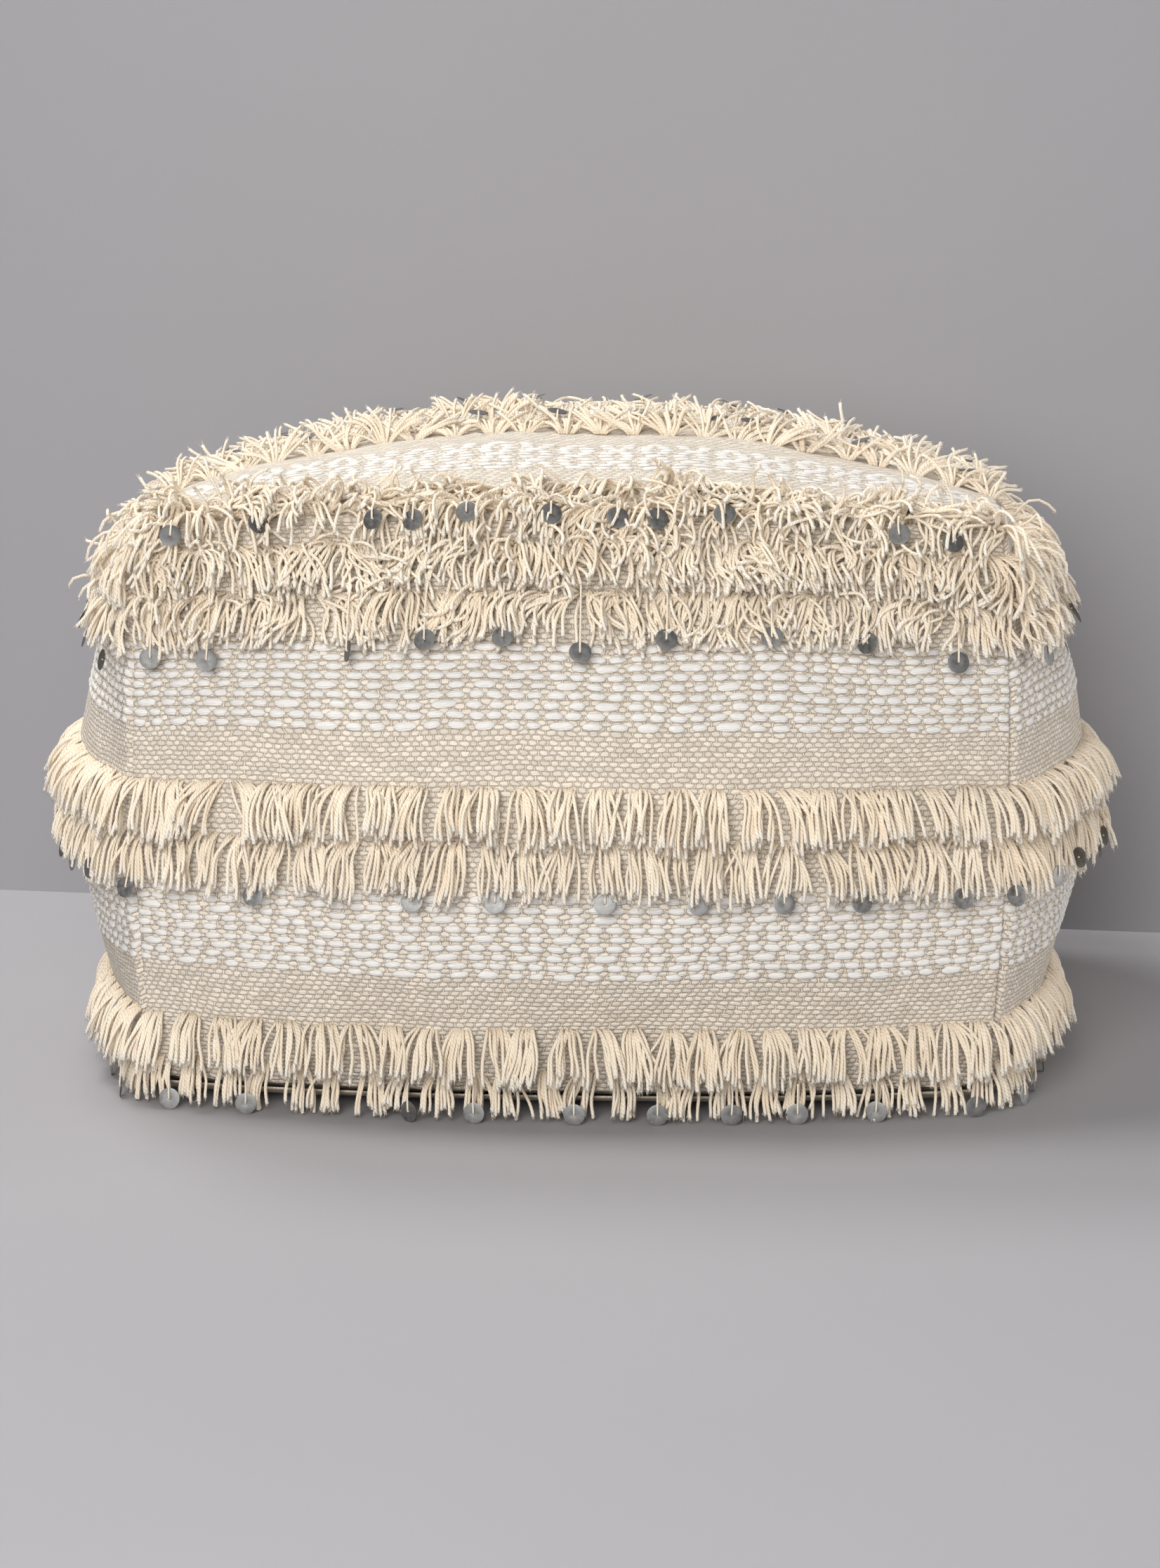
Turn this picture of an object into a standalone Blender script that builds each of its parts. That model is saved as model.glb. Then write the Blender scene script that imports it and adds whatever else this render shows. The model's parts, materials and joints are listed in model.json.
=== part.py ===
"""Square stuffed floor cushion: a cover of cotton panels with woven fringe rows and hanging
sequins, a canvas base closed by a zip, and a filled inner bag.

Metres, +Z up. The origin is on the floor under the middle of the cushion, and -Y is its front.
The whole body follows one formula, cushion_point, over a cube of shares: a runs from left to
right, b from front to back and h from the base to the top, each from -1 to 1.
"""

import math

import bmesh
import bpy
import numpy as np
from mathutils import Matrix, Vector

# The stuffed cover
CORNER_SPAN = 0.509        # between two corner seams at half height
TOP_SEAM_INSET = 0.006     # how far a corner seam comes in from there at the top seam
BASE_SEAM_INSET = 0.009    # and at the base seam
BULGE_TOP = 0.0085         # how far the middle of a side stands out from its corners, by height
BULGE_MIDDLE = 0.062
BULGE_BASE = 0.0305
BULGE_POWER = 2.4          # 2 is a plain parabola, more is fuller towards the corners
BASE_SEAM_HEIGHT = 0.012
SEAM_RISE = 0.3335         # from the base seam to the middle of a top seam
CORNER_DROP = 0.009        # how much lower the top corners are
CROWN = 0.046              # dome of the top above its seam
CROWN_POWER = 2.2
BASE_CURL = 0.048          # the base turns up to its seam over this width

# Cloth and filling
PANEL_THICKNESS = 0.003
CANVAS_THICKNESS = 0.0012
LINER_THICKNESS = 0.001
GAP = 0.0003               # left between pieces that touch
SEAM_GAP = 0.00025         # each panel stops this far short of its seam line
AROUND, UPWARD = 10, 6     # facets across the cushion and up its side
AT_SIDE = 0.99             # a share beyond this is on a side

# Fringe rows, in pairs
FRINGE_LENGTH = 0.033
FRINGE_ROOT = 0.0025       # thickness where the tufts leave the cloth
FRINGE_TIP = 0.0065        # thickness of the fanned ends
FRINGE_NOTCH = 0.72        # depth of a row between two tufts, as a share of its length
FRINGE_SEAT = 0.0007       # between the cloth and a row
ROW_PITCH = 0.030          # between the two rows of a pair
SIDE_PAIRS = ("upper", "middle", "lower")
FIRST_ROW_DOWN = 0.017     # from the top seam to the first row
LAST_ROW_UP = 0.015        # from the base seam to the last row
TOP_PAIRS = 4
TOP_FIRST_IN = 0.006       # from the front seam to the first row on the top
TOP_LAST_IN = 0.050        # from the back seam to the last one
ROW_REACH = 0.985          # share of a panel's width that a row covers
TUFTS = 10
TIP_ABOVE_FLOOR = 0.0015

# Sequins on their threads, along the front's middle pair
SEQUIN_PLACES = (-0.244, -0.170, -0.082, -0.037, 0.022, 0.072, 0.118, 0.160, 0.216, 0.246)
SEQUIN_DIAMETER = 0.0124
SEQUIN_THICKNESS = 0.0005
SEQUIN_HOLE = 0.0018
THREAD_DIAMETER = 0.001
THREAD_LENGTH = 0.027      # from the knot to the sequin's hole

# Zip in the base, along X
ZIP_HALF_GAP = 0.009       # from the middle to each turned-up canvas edge
SEAM_HEM = 0.0018          # height that the turned-up edge tapers to at the side seams
TAPE_HEIGHT = 0.0051       # underside of the tapes above the floor
TAPE_THICKNESS = 0.0008
TAPE_REACH = 0.016         # from the middle to a tape's outer edge
COIL_INNER, COIL_OUTER = 0.0009, 0.0029
COIL_THICKNESS = 0.002
ZIP_LENGTH = 0.400         # between the two stops
STOP_LENGTH = 0.003
SLIDER_LENGTH, SLIDER_WIDTH = 0.010, 0.0084
SLIDER_PLATE = 0.001
EAR_THICKNESS = 0.001
PULL_LENGTH, PULL_WIDTH, PULL_THICKNESS = 0.022, 0.0046, 0.0011
PIN_HEIGHT = 0.0013        # the pull's pin above the floor
PIN_RADIUS = 0.0005
PIN_CLEARANCE = 0.0003
EAR_MARGIN = 0.00035       # ear left around the pin's hole


# ------------------------------------------------------------------ the cushion's formula
def arched(base, middle, top, v):
    """A parabola through three values, at v = 0, 1/2 and 1."""
    return base + (top - base) * v + (middle - (top + base) / 2) * (1 - (2 * v - 1) ** 2)


def corner_half(v):
    middle = CORNER_SPAN / 2
    return arched(middle - BASE_SEAM_INSET, middle, middle - TOP_SEAM_INSET, v)


def side_bulge(v):
    return arched(BULGE_BASE, BULGE_MIDDLE, BULGE_TOP, v)


def fullness(t):
    return 1 - abs(t) ** BULGE_POWER


def base_height(a, b):
    """Flat on the floor, turned up to the seam along the edge."""
    flat = 1 - BASE_CURL / corner_half(0)
    beyond = max(0.0, max(abs(a), abs(b)) - flat) / (1 - flat)
    return BASE_SEAM_HEIGHT * beyond**2


def top_height(a, b):
    edge = 1 - (1 - fullness(a)) * (1 - fullness(b))
    seam = BASE_SEAM_HEIGHT + SEAM_RISE - CORNER_DROP * (1 - edge)
    dome = max(0.0, 1 - abs(a) ** CROWN_POWER) * max(0.0, 1 - abs(b) ** CROWN_POWER)
    return seam + CROWN * dome


def zip_hump(b):
    """How high the inner bag rides over the zip: a ridge one facet wide on each side."""
    facet = 2 * corner_half(0) / AROUND
    peak = (TAPE_TOP + SLIDER_PLATE + 3 * GAP) / (1 - TAPE_REACH / facet)
    return peak * max(0.0, 1 - abs(b) * AROUND / 2)


def cushion_point(a, b, h, out=0.0, base_out=None, over_zip=False):
    """The point at shares (a, b, h), moved out of the surface by out, or by base_out where the
    base lies flat."""
    v = (h + 1) / 2
    at_side = max(abs(a), abs(b)) > AT_SIDE
    base_out = out if base_out is None or at_side else base_out
    half = corner_half(v) + out
    bulge = side_bulge(v)
    low = base_height(a, b)
    if over_zip and not at_side:
        low += zip_hump(b)
    high = top_height(a, b)
    z = low + (high - low) * v + out * v - base_out * (1 - v)
    return Vector((a * (half + bulge * fullness(b)), b * (half + bulge * fullness(a)), z))


def facet_cell(t, facets):
    """The lattice stations on each side of share t, and how far t is between them."""
    cell = min(max(math.floor((t + 1) / 2 * facets), 0), facets - 1)
    low = -1 + 2 * cell / facets
    return low, low + 2 / facets, (t - low) * facets / 2


def on_facets(point, a, across, b, along):
    """A point on the flat facets that a panel is cut into, point(a, b) being its corners. Past a
    seam the last facet runs on."""
    a0, a1, s = facet_cell(a, across)
    b0, b1, t = facet_cell(b, along)
    if (a0 + a1) * (b0 + b1) < 0:
        a0, a1, s = a1, a0, 1 - s
    if s + t <= 1:
        corner = point(a0, b0)
        return corner + (point(a1, b0) - corner) * s + (point(a0, b1) - corner) * t
    corner = point(a1, b1)
    return corner + (point(a0, b1) - corner) * (1 - s) + (point(a1, b0) - corner) * (1 - t)


def front_facet_point(a, h, out):
    """A point on the front panel's facets, moved out of them."""
    return on_facets(lambda s, t: cushion_point(s, -1, t, out), a, AROUND, h, UPWARD)


def top_facet_point(a, b, out):
    """The same on the top panel."""
    return on_facets(lambda s, t: cushion_point(s, t, 1, out), a, AROUND, b, AROUND)


def arc_table(point, start, end, facets):
    """Shares from start to end along a panel's middle, and the distance run at each."""
    shares = np.linspace(start, end, facets + 1)
    places = np.array([point(0.0, share, 0.0) for share in shares])
    steps = np.linalg.norm(np.diff(places, axis=0), axis=1)
    return shares, np.concatenate([[0.0], np.cumsum(steps)])


def share_at(table, distance):
    """The share that lies this far along a table, run on in a straight line past its ends."""
    shares, run = table
    last = len(run) - 1
    cell = min(max(int(np.searchsorted(run, distance)) - 1, 0), last - 1)
    slope = (shares[cell + 1] - shares[cell]) / (run[cell + 1] - run[cell])
    return float(shares[cell] + (distance - run[cell]) * slope)


# ------------------------------------------------------------------ building helpers
def clear_scene():
    for item in list(bpy.data.objects):
        bpy.data.objects.remove(item, do_unlink=True)


def material(name, colour, roughness, metallic=0.0):
    made = bpy.data.materials.new(name)
    made.use_nodes = True
    shader = made.node_tree.nodes["Principled BSDF"]
    shader.inputs["Base Color"].default_value = (*colour, 1.0)
    shader.inputs["Roughness"].default_value = roughness
    shader.inputs["Metallic"].default_value = metallic
    made.diffuse_color = (*colour, 1.0)
    return made


def finished_mesh(name, bm, look, smooth_angle=35.0):
    bmesh.ops.recalc_face_normals(bm, faces=bm.faces)
    if bm.calc_volume(signed=True) < 0:
        bmesh.ops.reverse_faces(bm, faces=bm.faces)
    mesh = bpy.data.meshes.new(name)
    bm.to_mesh(mesh)
    bm.free()
    mesh.materials.append(look)
    mesh.shade_smooth()
    mesh.set_sharp_from_angle(angle=math.radians(smooth_angle))
    return mesh


def place(name, mesh, matrix=None, parent=None):
    item = bpy.data.objects.new(name, mesh)
    bpy.context.scene.collection.objects.link(item)
    item.parent = parent
    item.matrix_world = matrix or Matrix.Identity(4)
    return item


def sheet_of_shares(cuts, axes):
    """A flat square from -1 to 1 on two axes, cut into facets across each."""
    bm = bmesh.new()
    corners = []
    for s, t in ((-1, -1), (1, -1), (1, 1), (-1, 1)):
        place_of = [0.0, 0.0, 0.0]
        place_of[axes[0]] = s
        place_of[axes[1]] = t
        corners.append(bm.verts.new(place_of))
    bm.faces.new(corners)
    cut_facets(bm, cuts, axes)
    return bm


def cube_of_shares(cuts):
    bm = bmesh.new()
    bmesh.ops.create_cube(bm, size=2)
    cut_facets(bm, cuts, (0, 1, 2))
    return bm


def cut_facets(bm, cuts, axes):
    for count, axis in zip(cuts, axes):
        for k in range(1, count):
            middle, direction = Vector(), Vector()
            middle[axis] = -1 + 2 * k / count
            direction[axis] = 1.0
            everything = bm.verts[:] + bm.edges[:] + bm.faces[:]
            bmesh.ops.bisect_plane(bm, geom=everything, plane_co=middle, plane_no=direction)


def split_quads(bm, nearness=None):
    """Cuts each facet between the two corners beside its innermost one, so that layers lie
    parallel and no cut stands proud."""
    nearness = nearness or (lambda shares: sum(abs(t) for t in shares))
    for face in bm.faces[:]:
        corners = face.verts[:]
        innermost = min(range(4), key=lambda i: nearness(corners[i].co))
        bmesh.utils.face_split(face, corners[innermost - 1], corners[(innermost + 1) % 4])


def thicken(bm, shape):
    """Extrudes a sheet of shares and puts every corner at shape(shares, layer): layer 0 is the
    outer face and layer 1 the inner one."""
    outer = bm.verts[:]
    extruded = bmesh.ops.extrude_face_region(bm, geom=bm.faces[:])["geom"]
    inner = [item for item in extruded if isinstance(item, bmesh.types.BMVert)]
    for layer, corners in enumerate((outer, inner)):
        for corner in corners:
            corner.co = shape(corner.co.copy(), layer)


def short_of_seam(t, half):
    return t * (1 - SEAM_GAP / half)


# ------------------------------------------------------------------ cover, bag and filling
def side_panel_mesh(look):
    def shape(shares, layer):
        a = short_of_seam(shares[0], corner_half(0.5))
        h = short_of_seam(shares[2], SEAM_RISE / 2)
        return cushion_point(a, -1, h, -layer * PANEL_THICKNESS)

    bm = sheet_of_shares((AROUND, UPWARD), (0, 2))
    split_quads(bm)
    thicken(bm, shape)
    return finished_mesh("side_panel", bm, look)


def top_panel_mesh(look):
    def shape(shares, layer):
        half = corner_half(1)
        a, b = short_of_seam(shares[0], half), short_of_seam(shares[1], half)
        return cushion_point(a, b, 1, -layer * PANEL_THICKNESS)

    bm = sheet_of_shares((AROUND, AROUND), (0, 1))
    split_quads(bm)
    thicken(bm, shape)
    return finished_mesh("top_panel", bm, look)


def base_panel_mesh(look):
    """The front half of the canvas base, whose edge at the zip turns up as a hem."""
    half_facets = AROUND // 2

    def shape(shares, layer):
        inset = layer * CANVAS_THICKNESS
        a = short_of_seam(shares[0], corner_half(0))
        station = round((shares[1] + 1) / 2 * (half_facets + 1))
        if station < half_facets:
            b = short_of_seam(-1 + station / half_facets, corner_half(0))
            return cushion_point(a, b, -1, -inset)
        inboard = 1 - (PANEL_THICKNESS + 2 * GAP) / corner_half(0)
        point = cushion_point(a, 0, -1, -inset)
        point.x *= inboard
        point.y = -ZIP_HALF_GAP - inset
        if station > half_facets:
            point.z += (SEAM_HEM if abs(a) > AT_SIDE else TAPE_HEIGHT - GAP) - inset
        return point

    bm = sheet_of_shares((AROUND, half_facets + 1), (0, 1))
    split_quads(bm, lambda shares: abs(shares.x) - shares.y)
    thicken(bm, shape)
    return finished_mesh("base_panel", bm, look)


BAG_OUT = -(PANEL_THICKNESS + GAP)
BAG_BASE_OUT = -(CANVAS_THICKNESS + GAP)
FILLING_OUT = BAG_OUT - LINER_THICKNESS - GAP
FILLING_BASE_OUT = BAG_BASE_OUT - LINER_THICKNESS - GAP
TAPE_TOP = TAPE_HEIGHT + TAPE_THICKNESS / 2 + COIL_THICKNESS / 2


def inner_bag_shape(shares, layer):
    half = corner_half(0)
    a, b = short_of_seam(shares[0], half), short_of_seam(shares[1], half)
    h = short_of_seam(shares[2], SEAM_RISE / 2)
    inset = layer * LINER_THICKNESS
    return cushion_point(a, b, h, BAG_OUT - inset, BAG_BASE_OUT - inset, over_zip=True)


def inner_bag_top_mesh(look):
    """The bag's top and four sides in one piece, open below."""
    bm = cube_of_shares((AROUND, AROUND, UPWARD))
    floor = [face for face in bm.faces if all(corner.co.z < -0.999 for corner in face.verts)]
    bmesh.ops.delete(bm, geom=floor, context="FACES")
    split_quads(bm)

    def shape(shares, layer):
        shares.x *= 1 if abs(shares.x) < 1 else (1 + SEAM_GAP / corner_half(0))
        shares.y *= 1 if abs(shares.y) < 1 else (1 + SEAM_GAP / corner_half(0))
        return inner_bag_shape(shares, layer)

    thicken(bm, shape)
    return finished_mesh("inner_bag_top", bm, look)


def inner_bag_base_mesh(look):
    def shape(shares, layer):
        shares.z = -1 - SEAM_GAP / SEAM_RISE
        return inner_bag_shape(shares, layer)

    bm = sheet_of_shares((AROUND, AROUND), (0, 1))
    split_quads(bm)
    thicken(bm, shape)
    return finished_mesh("inner_bag_base", bm, look)


def filling_mesh(look):
    bm = cube_of_shares((AROUND, AROUND, UPWARD))
    split_quads(bm)
    for corner in bm.verts:
        corner.co = cushion_point(*corner.co, FILLING_OUT, FILLING_BASE_OUT, over_zip=True)
    return finished_mesh("filling", bm, look)


# ------------------------------------------------------------------ fringe rows
def row_profile(share_of_length):
    """(inner, outer) distance from the cloth at a share of the way down a row. The ends lean out
    just far enough to lie over the root of the row below."""
    overlap = max(0.0, FRINGE_LENGTH - ROW_PITCH) / FRINGE_LENGTH
    root_outer = FRINGE_SEAT + FRINGE_ROOT
    lean = (root_outer + 2 * GAP + overlap * (FRINGE_TIP - root_outer)) / (1 - overlap)
    inner = FRINGE_SEAT + (lean - FRINGE_SEAT) * share_of_length
    outer = root_outer + (lean + FRINGE_TIP - root_outer) * share_of_length
    return inner, outer


def row_mesh(name, look, point, table, root, length, direction):
    """One fringe row: a band whose lower edge is notched between its tufts. Its root is at
    distance root along the table, and it falls in the given direction, +1 or -1."""

    def shape(shares, layer):
        station = round((shares[0] + 1) * TUFTS)
        depth = 0.0 if shares[1] < 0 else (1.0 if station % 2 else FRINGE_NOTCH)
        out = row_profile(depth * length / FRINGE_LENGTH)[1 - layer]
        share = share_at(table, root + direction * depth * length)
        return point(min(max(shares[0], -ROW_REACH), ROW_REACH), share, out)

    bm = sheet_of_shares((2 * TUFTS, 1), (0, 1))
    thicken(bm, shape)
    return finished_mesh(name, bm, look)


def side_rows(table):
    """(pair name, number in the pair, distance down from the top seam) of each row on a side."""
    run = table[1][-1]
    repeat = (run - FIRST_ROW_DOWN - LAST_ROW_UP - ROW_PITCH) / (len(SIDE_PAIRS) - 1)
    for k, pair in enumerate(SIDE_PAIRS):
        for number in (1, 2):
            yield pair, number, FIRST_ROW_DOWN + k * repeat + (number - 1) * ROW_PITCH


def tip_height(table, root, length):
    """Height of a side row's outermost ends above the floor."""
    out = row_profile(length / FRINGE_LENGTH)[1]
    share = share_at(table, root + length)
    return min(front_facet_point(a, share, out).z for a in (0.0, 0.5, ROW_REACH))


def row_length(table, root):
    """A row is as long as its yarn, or as the drop to the floor lets it be, found by halving."""
    short, long = 0.0, FRINGE_LENGTH
    if tip_height(table, root, long) > TIP_ABOVE_FLOOR:
        return long
    for _ in range(30):
        middle = (short + long) / 2
        if tip_height(table, root, middle) > TIP_ABOVE_FLOOR:
            short = middle
        else:
            long = middle
    return short


def build_side_fringe(look, table):
    for pair, number, root in side_rows(table):
        length = row_length(table, root)
        mesh = row_mesh(f"row_{pair}_{number}", look, front_facet_point, table, root, length, 1)
        for side, turn in SIDES.items():
            place(f"fringe_{side}_{pair}_{number}", mesh, turn)


def build_top_fringe(look):
    table = arc_table(top_facet_point, -1.0, 1.0, AROUND)
    repeat = (table[1][-1] - TOP_FIRST_IN - TOP_LAST_IN - ROW_PITCH) / (TOP_PAIRS - 1)
    for k in range(TOP_PAIRS):
        for number in (1, 2):
            root = TOP_FIRST_IN + k * repeat + (number - 1) * ROW_PITCH
            name = f"fringe_top_{2 * k + number}"
            falls = -1 if k == 0 else 1
            mesh = row_mesh(name, look, top_facet_point, table, root, FRINGE_LENGTH, falls)
            place(name, mesh)


# ------------------------------------------------------------------ sequins
def ring_mesh_into(bm, radius, hole, thickness, sides):
    """A flat disc with a hole, standing in the local XZ plane and thick along Y."""
    turned = Matrix.Rotation(math.radians(90), 4, "X")
    rims = []
    for r in (radius, hole):
        for y in (-thickness / 2, thickness / 2):
            loop = bmesh.ops.create_circle(bm, radius=r, segments=sides, matrix=turned)["verts"]
            for corner in loop:
                corner.co.y = y
            rims.append(loop)
    outer_front, outer_back, hole_front, hole_back = rims
    pairs = ((outer_front, outer_back), (outer_back, hole_back))
    for first, second in pairs + ((hole_back, hole_front), (hole_front, outer_front)):
        for i in range(sides):
            j = (i + 1) % sides
            bm.faces.new((first[i], first[j], second[j], second[i]))


def tube_into(bm, path, radius, sides):
    """A closed tube along a path in the local YZ plane."""
    rings = []
    for i, point in enumerate(path):
        before, after = path[max(i - 1, 0)], path[min(i + 1, len(path) - 1)]
        along = (after - before).normalized()
        across = Vector((1, 0, 0))
        other = along.cross(across)
        ring = []
        for k in range(sides):
            angle = 2 * math.pi * k / sides
            spoke = math.cos(angle) * across + math.sin(angle) * other
            ring.append(bm.verts.new(point + radius * spoke))
        rings.append(ring)
    for first, second in zip(rings, rings[1:]):
        for i in range(sides):
            j = (i + 1) % sides
            bm.faces.new((first[i], first[j], second[j], second[i]))
    bm.faces.new(rings[0])
    bm.faces.new(rings[-1][::-1])


def sequin_mesh(looks):
    """A sequin on its thread, hanging along -Z from the knot at the origin, with -Y outwards.
    The thread runs down over the sequin's face and in through the upper rim of its hole."""
    disc = bmesh.new()
    ring_mesh_into(disc, SEQUIN_DIAMETER / 2, SEQUIN_HOLE / 2, SEQUIN_THICKNESS, 20)
    bmesh.ops.translate(disc, verts=disc.verts, vec=(0, 0, -THREAD_LENGTH))
    radius = THREAD_DIAMETER / 2
    face = -(SEQUIN_THICKNESS / 2 + radius * 1.3)
    level = -THREAD_LENGTH + SEQUIN_HOLE / 2 - radius * 0.6
    path = [
        Vector((0, 0, 0)),
        Vector((0, face, 8 * face)),
        Vector((0, face, level + 3 * radius)),
        Vector((0, face * 0.7, level + radius)),
        Vector((0, SEQUIN_THICKNESS / 2 + radius / 2, level)),
    ]
    thread = bmesh.new()
    tube_into(thread, path, radius, 8)
    disc_item = place("sequin_disc_shape", finished_mesh("sequin_disc", disc, looks[0]))
    thread_item = place("sequin_thread_shape", finished_mesh("sequin_thread", thread, looks[1]))
    join = disc_item.modifiers.new("join", "BOOLEAN")
    join.operation = "UNION"
    join.solver = "EXACT"
    join.object = thread_item
    bpy.context.view_layer.update()
    evaluated = disc_item.evaluated_get(bpy.context.evaluated_depsgraph_get())
    joined = bpy.data.meshes.new_from_object(evaluated)
    joined.name = "sequin"
    for item in (disc_item, thread_item):
        bpy.data.objects.remove(item, do_unlink=True)
    return joined


def sequin_places(table):
    """The frame of each knot: X along the row, -Z down the thread and -Y outwards."""
    root = next(r for pair, number, r in side_rows(table) if (pair, number) == ("middle", 2))
    thread_out = 2 * GAP + SEQUIN_THICKNESS / 2 + THREAD_DIAMETER / 4
    knot_down = max(0.0, FRINGE_LENGTH - ROW_PITCH) + THREAD_DIAMETER
    for k, x in enumerate(SEQUIN_PLACES):
        a = x / corner_half(0.5)
        ends = []
        for down in (knot_down, knot_down + THREAD_LENGTH):
            out = row_profile(min(1.0, down / FRINGE_LENGTH))[1] + thread_out
            ends.append(front_facet_point(a, share_at(table, root + down), out))
        up = (ends[0] - ends[1]).normalized()
        beside = [front_facet_point(a + step, share_at(table, root), 0.0) for step in (-0.02, 0.02)]
        along = (beside[1] - beside[0]).normalized()
        along = (along - up * along.dot(up)).normalized()
        inward = up.cross(along)
        frame = Matrix((along, inward, up)).transposed().to_4x4()
        frame.translation = ends[0]
        yield f"sequin_{k + 1:02d}", frame


# ------------------------------------------------------------------ zip
def box_into(bm, low, high):
    size = Vector(high) - Vector(low)
    middle = (Vector(high) + Vector(low)) / 2
    shape = Matrix.Translation(middle) @ Matrix.Diagonal((*size, 1.0))
    bmesh.ops.create_cube(bm, size=1, matrix=shape)


def box_object(name, look, low, high):
    bm = bmesh.new()
    box_into(bm, low, high)
    return place(name, finished_mesh(name, bm, look))


def rod_object(name, look, middle, radius, length):
    """A round rod lying along Y."""
    bm = bmesh.new()
    lying = Matrix.Translation(middle) @ Matrix.Rotation(math.pi / 2, 4, "X")
    sizes = {"segments": 16, "radius1": radius, "radius2": radius, "depth": length}
    bmesh.ops.create_cone(bm, cap_ends=True, matrix=lying, **sizes)
    return place(name, finished_mesh(name, bm, look))


def boolean(item, other, operation):
    other.hide_render = True
    other.display_type = "WIRE"
    added = item.modifiers.new(operation.lower(), "BOOLEAN")
    added.operation = operation
    added.solver = "EXACT"
    added.object = other


def axis_empty(name, location):
    empty = bpy.data.objects.new(name, None)
    bpy.context.scene.collection.objects.link(empty)
    empty.location = location
    return empty


def parent_to(item, empty):
    """Hangs the item on its joint's empty without moving it."""
    bpy.context.view_layer.update()
    keep = item.matrix_world.copy()
    item.parent = empty
    item.matrix_world = keep


def tape_mesh(look):
    """The front tape, with the coil along its inner edge: one section drawn along X."""
    end = ZIP_LENGTH / 2 + STOP_LENGTH + GAP
    coil_low = TAPE_HEIGHT + TAPE_THICKNESS / 2 - COIL_THICKNESS / 2
    coil_high = coil_low + COIL_THICKNESS
    tape_high = TAPE_HEIGHT + TAPE_THICKNESS
    section = [
        (-TAPE_REACH, TAPE_HEIGHT),
        (-COIL_OUTER, TAPE_HEIGHT),
        (-COIL_OUTER, coil_low),
        (-COIL_INNER, coil_low),
        (-COIL_INNER, coil_high),
        (-COIL_OUTER, coil_high),
        (-COIL_OUTER, tape_high),
        (-TAPE_REACH, tape_high),
    ]
    bm = bmesh.new()
    outline = bm.faces.new([bm.verts.new((-end, y, z)) for y, z in section])
    drawn = bmesh.ops.extrude_face_region(bm, geom=[outline])["geom"]
    moved = [item for item in drawn if isinstance(item, bmesh.types.BMVert)]
    bmesh.ops.translate(bm, verts=moved, vec=(2 * end, 0, 0))
    return finished_mesh("zip_tape", bm, look)


def build_zip(looks):
    tape = tape_mesh(looks["tape"])
    place("zip_tape_front", tape)
    place("zip_tape_rear", tape, Matrix.Rotation(math.pi, 4, "Z"))

    coil_low = TAPE_HEIGHT + TAPE_THICKNESS / 2 - COIL_THICKNESS / 2
    coil_high = coil_low + COIL_THICKNESS
    post = COIL_INNER - GAP
    for name, side in (("zip_stop_closed", -1), ("zip_stop_open", 1)):
        near, far = side * ZIP_LENGTH / 2, side * (ZIP_LENGTH / 2 + STOP_LENGTH)
        low, high = min(near, far), max(near, far)
        box_object(name, looks["metal"], (low, -post, coil_low), (high, post, coil_high))

    # The slider: two plates joined by a post between the coils, with two ears below.
    start = -ZIP_LENGTH / 2 + GAP + SLIDER_LENGTH / 2
    body = axis_empty("zip_slider_axis", (start, 0, TAPE_HEIGHT))
    reach, wide = SLIDER_LENGTH / 2, SLIDER_WIDTH / 2
    plate_top = coil_low - GAP
    plate_low = plate_top - SLIDER_PLATE
    upper_low = coil_high + GAP
    ear_in = PULL_WIDTH / 2 + PIN_CLEARANCE
    ear_out = ear_in + EAR_THICKNESS
    ear_reach = PIN_RADIUS + PIN_CLEARANCE + EAR_MARGIN
    upper_high = upper_low + SLIDER_PLATE
    joined = 0.2 * SLIDER_PLATE
    spans = {
        "lower_plate": ((-reach, reach), (-wide, wide), (plate_low, plate_top)),
        "upper_plate": ((-reach, reach), (-wide, wide), (upper_low, upper_high)),
        "post": ((-reach / 2, reach / 2), (-post, post), (plate_top - joined, upper_low + joined)),
    }
    for name, side in (("front_ear", -1), ("rear_ear", 1)):
        across = sorted((side * ear_in, side * ear_out))
        spans[name] = ((-ear_reach, ear_reach), across, (PIN_HEIGHT - ear_reach, plate_low + joined))
    slider = None
    for name, (xs, ys, zs) in spans.items():
        low, high = (start + xs[0], ys[0], zs[0]), (start + xs[1], ys[1], zs[1])
        if slider is None:
            slider = box_object("zip_slider", looks["metal"], low, high)
        else:
            boolean(slider, box_object(f"slider_{name}_shape", looks["metal"], low, high), "UNION")
    pin_middle = (start, 0, PIN_HEIGHT)
    hole_radius = PIN_RADIUS + PIN_CLEARANCE
    hole = rod_object("pin_hole_shape", looks["metal"], pin_middle, hole_radius, 4 * ear_out)
    boolean(slider, hole, "DIFFERENCE")
    parent_to(slider, body)

    # The pull: a flat tab with a cross pin that turns in the ears.
    hinge = axis_empty("zip_pull_axis", pin_middle)
    half = PULL_THICKNESS / 2
    tab_start = start - 2 * PIN_RADIUS
    low = (tab_start, -PULL_WIDTH / 2, PIN_HEIGHT - half)
    high = (start + PULL_LENGTH, PULL_WIDTH / 2, PIN_HEIGHT + half)
    pull = box_object("zip_pull", looks["metal"], low, high)
    pin = rod_object("pull_pin_shape", looks["metal"], pin_middle, PIN_RADIUS, 2 * (ear_out + GAP))
    boolean(pull, pin, "UNION")
    parent_to(pull, hinge)


# ------------------------------------------------------------------ the whole cushion
SIDES = {
    "front": Matrix.Identity(4),
    "right": Matrix.Rotation(math.radians(90), 4, "Z"),
    "back": Matrix.Rotation(math.radians(180), 4, "Z"),
    "left": Matrix.Rotation(math.radians(270), 4, "Z"),
}


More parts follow.
